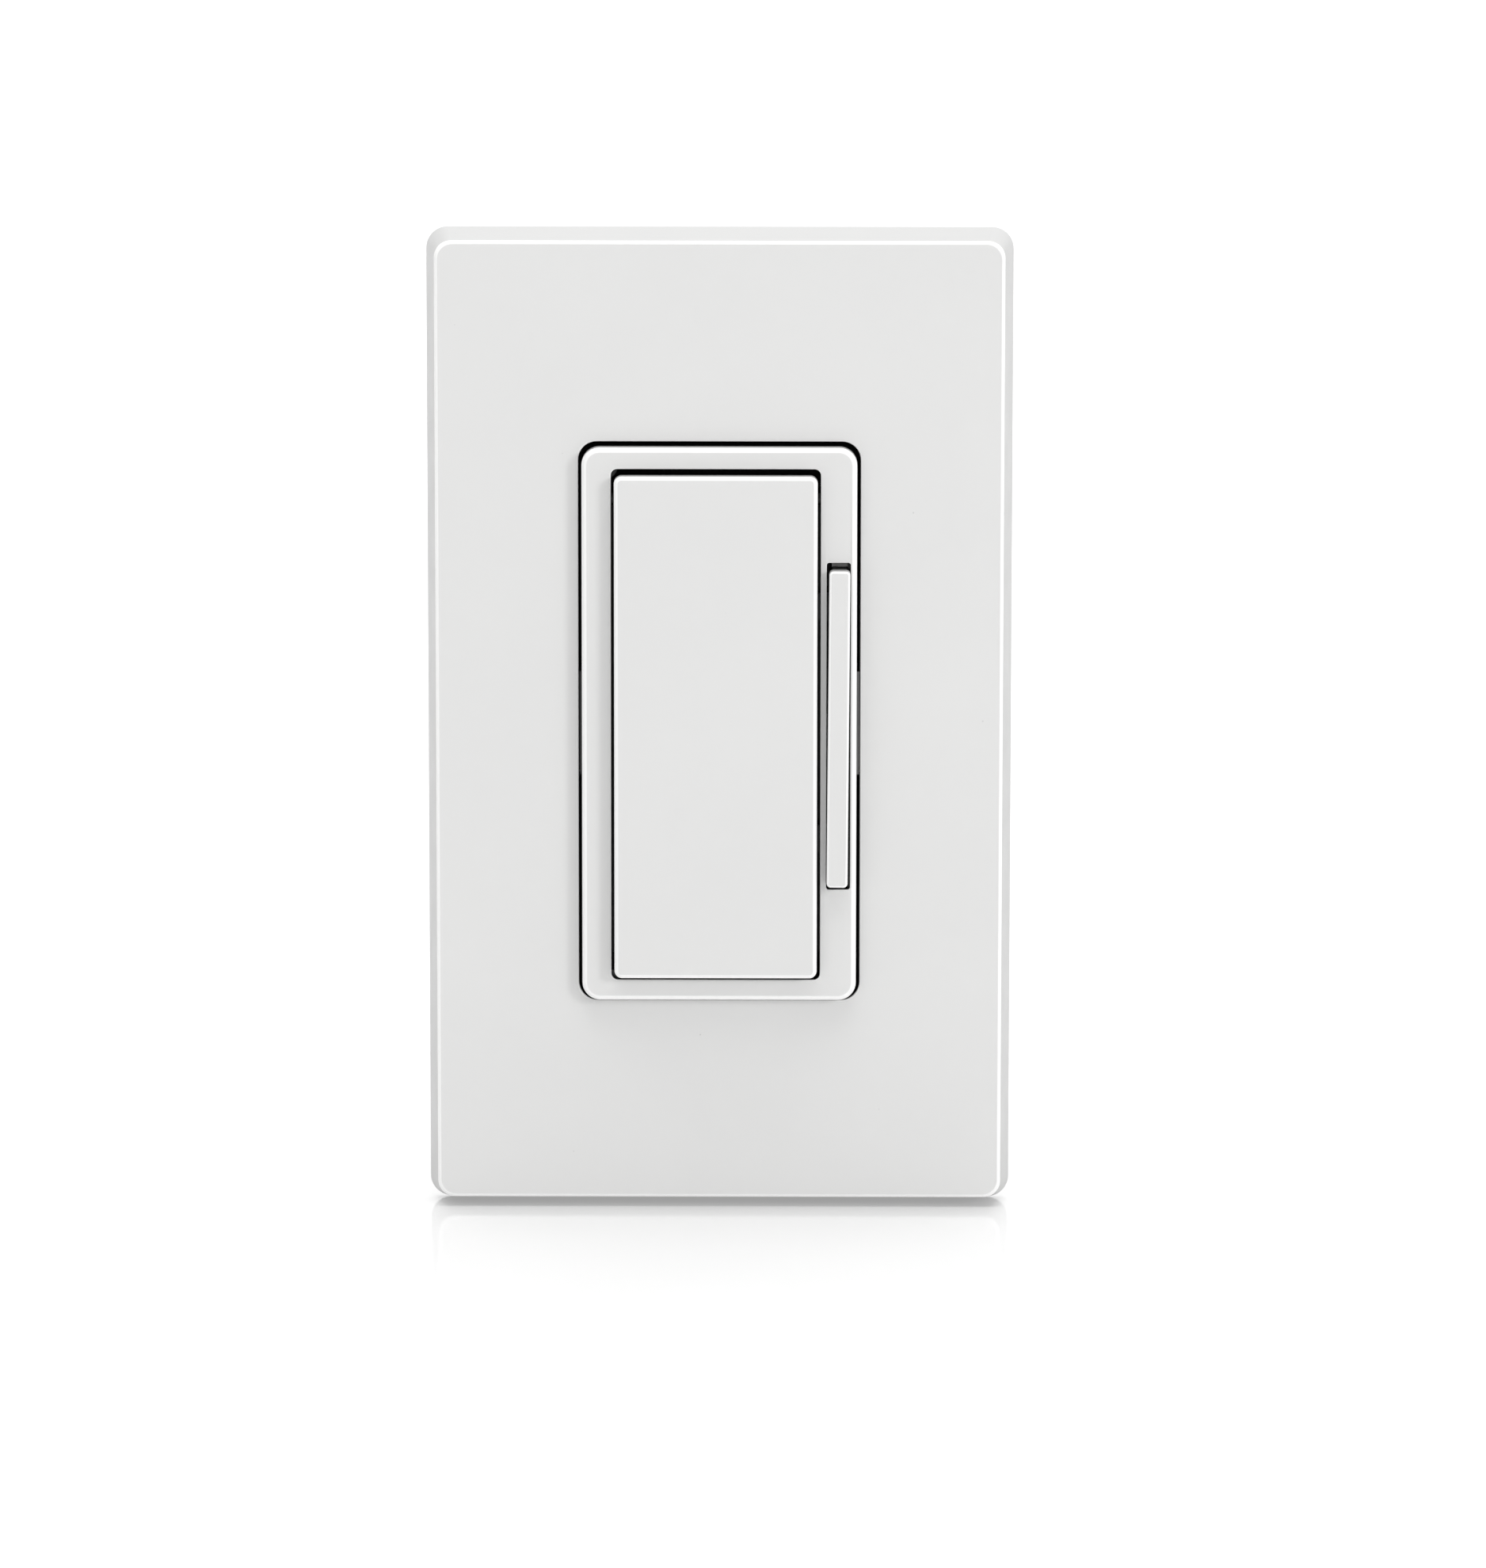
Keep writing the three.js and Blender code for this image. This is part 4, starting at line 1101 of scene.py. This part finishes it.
def housing_cuts():
    """Tools for the terminal windows, wire and screw holes, label recess and ejector marks."""
    front, back, wall = HOUSING["front"], HOUSING["back"], HOUSING["wall"]
    half, y = HOUSING["window"] / 2, HOUSING["window_y"]
    reach = HOUSING["body"]["width"] / 2 + CLEAR
    hole_end = HOUSING["flange_back"] + CLEAR
    mark = HOUSING["ejector"]
    cuts = []
    for side in ENDS:
        for end in ENDS:
            x0, x1 = sorted((side * (reach - wall - 3 * CLEAR), side * reach))
            z = end * HOUSING["window_z"]
            cuts.append(box_tool((x0, y - half, z - half), (x1, y + half, z + half)))
            for offset in (HOUSING["wire_spread"], -HOUSING["wire_spread"]):
                cuts += wire_hole(Vector((side * HOUSING["wire_x"], 0, z + offset)))
            x, z = side * BOSS["x"], end * BOSS["z"]
            start = (x, front - CLEAR, z)
            cuts.append(rod_tool(HOUSING["screw_hole"], start, (x, hole_end, z), 24))
    cuts.append(shape_tool(HOUSING["label"], back - HOUSING["label_depth"], back + CLEAR))
    for x in (-mark["x"], mark["x"]):
        for z in (-mark["z"], mark["z"]):
            shape = disc(mark["radius"], x, z)
            cuts.append(shape_tool(shape, back - mark["depth"], back + CLEAR))
    return cuts + housing_grooves()


def wire_hole(place):
    """Tools for a push-in wire hole in the back wall, with a funnel at its mouth."""
    funnel, radius, back = HOUSING["funnel"], HOUSING["wire_hole"], HOUSING["back"]
    depths = (back - HOUSING["wall"] - CLEAR, back - funnel["depth"], back + funnel["proud"])
    deep, mouth, outside = (place + Vector((0, depth, 0)) for depth in depths)
    overlap = Vector((0, funnel["proud"], 0))
    return [
        rod_tool(radius, deep, mouth + overlap, 24),
        rod_tool(radius, mouth, outside, 24, end_radius=radius + funnel["flare"]),
    ]


def housing_grooves():
    """Tools for the strip gauges in the side walls."""
    gauge, half_width = HOUSING["gauge"], HOUSING["body"]["width"] / 2
    near, far = gauge["z"]
    y0, y1 = gauge["front"], HOUSING["back"] - gauge["short_of_back"]
    grooves = []
    for side in ENDS:
        x0, x1 = sorted((side * (half_width - gauge["depth"]), side * (half_width + CLEAR)))
        grooves.append(box_tool((x0, y0, -far), (x1, y1, -near)))
        grooves.append(box_tool((x0, y0, near), (x1, y1, far)))
    return grooves


CLAMP = {"hole": 2.1, "grooves": (-3.1, -2.5, 2.5, 3.1), "groove_depth": 0.15, "half_width": 0.12}


def terminal_clamp(node, material):
    """A pressed clamp plate with a round hole and gripping grooves on its inner face."""
    low, high = node_box(node)
    middle = (low + high) / 2
    side = 1 if middle.x > 0 else -1
    plate = box_tool(low, high, f"{node}_detail")
    inner = low.x if side > 0 else high.x
    start, end = (Vector((x, middle.y, middle.z)) for x in (low.x - CLEAR, high.x + CLEAR))
    cuts = [rod_tool(CLAMP["hole"], start, end)]
    depth, half = CLAMP["groove_depth"], CLAMP["half_width"]
    for offset in CLAMP["grooves"]:
        z = middle.z + offset
        groove_low = (inner - depth, low.y - CLEAR, z - half)
        cuts.append(box_tool(groove_low, (inner + depth, high.y + CLEAR, z + half)))
    combine(plate, cuts, "DIFFERENCE")
    bevelled(plate, 0.1)
    return seat(smooth(plate), node, material)


# ---- soft buttons

BUTTON_EDGE = 0.16
# Each is (node, the joint that presses it, the share of its height left at the joint's limit).
SOFT_BUTTONS = (
    ("paddle_switch_button", "paddle_press", 0.12),
    ("brighter_switch_button", "dim_bar_rock", 0.2),
    ("dimmer_switch_button", "dim_bar_rock", 0.2),
)


def soft_buttons():
    """The switches' soft rubber buttons, each in its CAD node's place with a mesh of its own."""
    rubber = moulded("button rubber")
    for node, joint, keep in SOFT_BUTTONS:
        low, high = node_box(node)
        middle = (low + high) / 2
        shape = disc((high.x - low.x) / 2, middle.x, middle.z)
        bm = bmesh.new()
        loops = soft_front(bm, shape, low.y, high.y, BUTTON_EDGE)
        bm.faces.new(loops[0])
        button = smooth(mesh_object(bm, f"{node}_detail"))
        seat(button, node, rubber)
        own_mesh(button)


# ---- nodes kept from the CAD

KEPT = {
    "brass": [f"{name}_terminal_lug" for name in ("line", "load", "neutral", "traveler")],
    "fibre": ["screw_retainer_top", "screw_retainer_bottom"],
    "insulator": ["insulating_sheet", "triac_pad", "fuse"],
    "circuit_board": ["control_board", "power_board"],
    "black_plastic": [
        "controller_chip", "board_header", "paddle_switch", "brighter_switch", "dimmer_switch",
        "triac", "bridge_rectifier",
    ],
    "capacitor_red": ["film_capacitor"],
    "component_blue": ["bulk_capacitor", "varistor"],
    "ferrite": ["choke_core", "supply_inductor"],
    "enamelled_copper": ["choke_winding"],
}


def keep_node(node, material):
    """Rounds a CAD node's edges with modifiers and gives it its finish."""
    kept = frame["nodes"][node]
    weld = kept.modifiers.new("weld", "WELD")
    weld.merge_threshold = 0.001 * MM
    flat = kept.modifiers.new("merge flat faces", "DECIMATE")
    flat.decimate_type = "DISSOLVE"
    flat.angle_limit = math.radians(1)
    bevelled(kept, 0.1)
    kept.data.materials.clear()
    kept.data.materials.append(material)


def keep_nodes(brass_used):
    finishes = {
        "brass": brass_used,
        "fibre": fibre(),
        "insulator": moulded("insulator"),
        "circuit_board": circuit_board("green board", (0.006, 0.04, 0.016), (0.012, 0.075, 0.03)),
        "black_plastic": moulded("black plastic"),
        "capacitor_red": moulded("capacitor red"),
        "component_blue": moulded("component blue"),
        "ferrite": moulded("ferrite"),
        "enamelled_copper": metal("enamelled copper"),
    }
    for slot, nodes in KEPT.items():
        for node in nodes:
            keep_node(node, finishes[slot])
    # The control board is black: painted shade, so the gap between the paddle and the bar stays
    # dark.
    gap_shade_board = circuit_board("black board", (0.004, 0.004, 0.004), (0.009, 0.009, 0.009))
    frame["nodes"]["control_board"].data.materials[0] = gap_shade_board


# ---- studio


def studio_floor():
    """A glossy white acrylic table top, faintly lit from below, that reaches far behind the
    object."""
    nodes = Nodes("table top")
    shade = nodes.ramp(nodes.noise(60.0), (0.3, 0.53), (0.7, 0.55))
    polish = nodes.spread(nodes.noise(25.0), 0.1, 0.14)
    nodes.shader.inputs["IOR"].default_value = 1.36
    nodes.shader.inputs["Emission Color"].default_value = (1, 1, 1, 1)
    nodes.shader.inputs["Emission Strength"].default_value = 0.23
    nodes.finish(shade, polish)
    bm = bmesh.new()
    bmesh.ops.create_grid(bm, x_segments=1, y_segments=1, size=6.0)
    floor = mesh_object(bm, "table_top")
    floor.location.z = cad_box[0].z
    floor.data.materials.append(nodes.material)


def add_light(data, direction, place=(0, 0, 0)):
    light = bpy.data.objects.new(data.name, data)
    light.location = place
    light.rotation_euler = Vector(direction).to_track_quat("-Z", "Y").to_euler()
    bpy.context.scene.collection.objects.link(light)


def softbox(name, place, size, power):
    """A square soft light that faces the object."""
    data = bpy.data.lights.new(name, "AREA")
    data.shape = "SQUARE"
    data.size = size
    data.energy = power
    add_light(data, -Vector(place), place)


def overhead(strength, softness):
    """An even light from straight above, with softness as its angular size in degrees."""
    data = bpy.data.lights.new("overhead", "SUN")
    data.energy = strength
    data.angle = math.radians(softness)
    add_light(data, (0, 0, -1))


def studio_world(front, back):
    """A room whose brightness grows from in front of the object to behind it."""
    world = bpy.data.worlds.new("studio")
    world.use_nodes = True
    tree = world.node_tree
    background = tree.nodes["Background"]
    background.inputs["Color"].default_value = (1, 1, 1, 1)
    coordinates = tree.nodes.new("ShaderNodeTexCoord")
    split = tree.nodes.new("ShaderNodeSeparateXYZ")
    spread = tree.nodes.new("ShaderNodeMapRange")
    spread.inputs["From Min"].default_value = 0.25
    spread.inputs["From Max"].default_value = 0.7
    spread.inputs["To Min"].default_value = front
    spread.inputs["To Max"].default_value = back
    tree.links.new(coordinates.outputs["Generated"], split.inputs[0])
    tree.links.new(split.outputs["Y"], spread.inputs["Value"])
    tree.links.new(spread.outputs["Result"], background.inputs["Strength"])
    bpy.context.scene.world = world


CAMERA = {
    "distance": 0.992,
    "elevation": 9.159,
    "azimuth": -0.278,
    "roll": 0.055,
    "aim": (0.00283, -0.0066, -0.00728),
    "lens": 190.98,
}


def studio_camera():
    data = bpy.data.cameras.new("camera")
    data.lens = CAMERA["lens"]
    data.sensor_width = 36.0
    data.clip_start = 0.01
    data.clip_end = 50.0
    camera = bpy.data.objects.new("camera", data)
    elevation = math.radians(CAMERA["elevation"])
    azimuth = math.radians(CAMERA["azimuth"])
    forward = Vector((
        math.sin(azimuth) * math.cos(elevation),
        math.cos(azimuth) * math.cos(elevation),
        -math.sin(elevation),
    ))
    camera.location = Vector(CAMERA["aim"]) - forward * CAMERA["distance"]
    upright = forward.to_track_quat("-Z", "Y").to_matrix().to_4x4()
    roll = Matrix.Rotation(math.radians(CAMERA["roll"]), 4, "Z")
    camera.rotation_euler = (upright @ roll).to_euler()
    bpy.context.scene.collection.objects.link(camera)
    bpy.context.scene.camera = camera


def studio():
    studio_camera()
    studio_floor()
    studio_world(front=0.53, back=1.2)
    overhead(strength=2.6, softness=60)
    softbox("key", place=(1.3, -1.0, 0.5), size=0.35, power=7.5)
    softbox("fill", place=(-1.0, -1.2, -0.02), size=0.5, power=1.6)
    settings = bpy.context.scene.view_settings
    settings.view_transform = "Standard"
    settings.look = "None"


# ---- the whole object


def build():
    zinc, yellow, green = metal("zinc steel"), metal("brass"), metal("green steel")
    cover_shell()
    bracket_plate()
    strap_plate()
    bezel()
    paddle_shell()
    rocker_bar()
    housing_shell()
    screws(zinc, yellow, green)
    for name in ("line", "load", "neutral", "traveler"):
        terminal_clamp(f"{name}_terminal_clamp", zinc)
    soft_buttons()
    keep_nodes(yellow)


studio()
build()
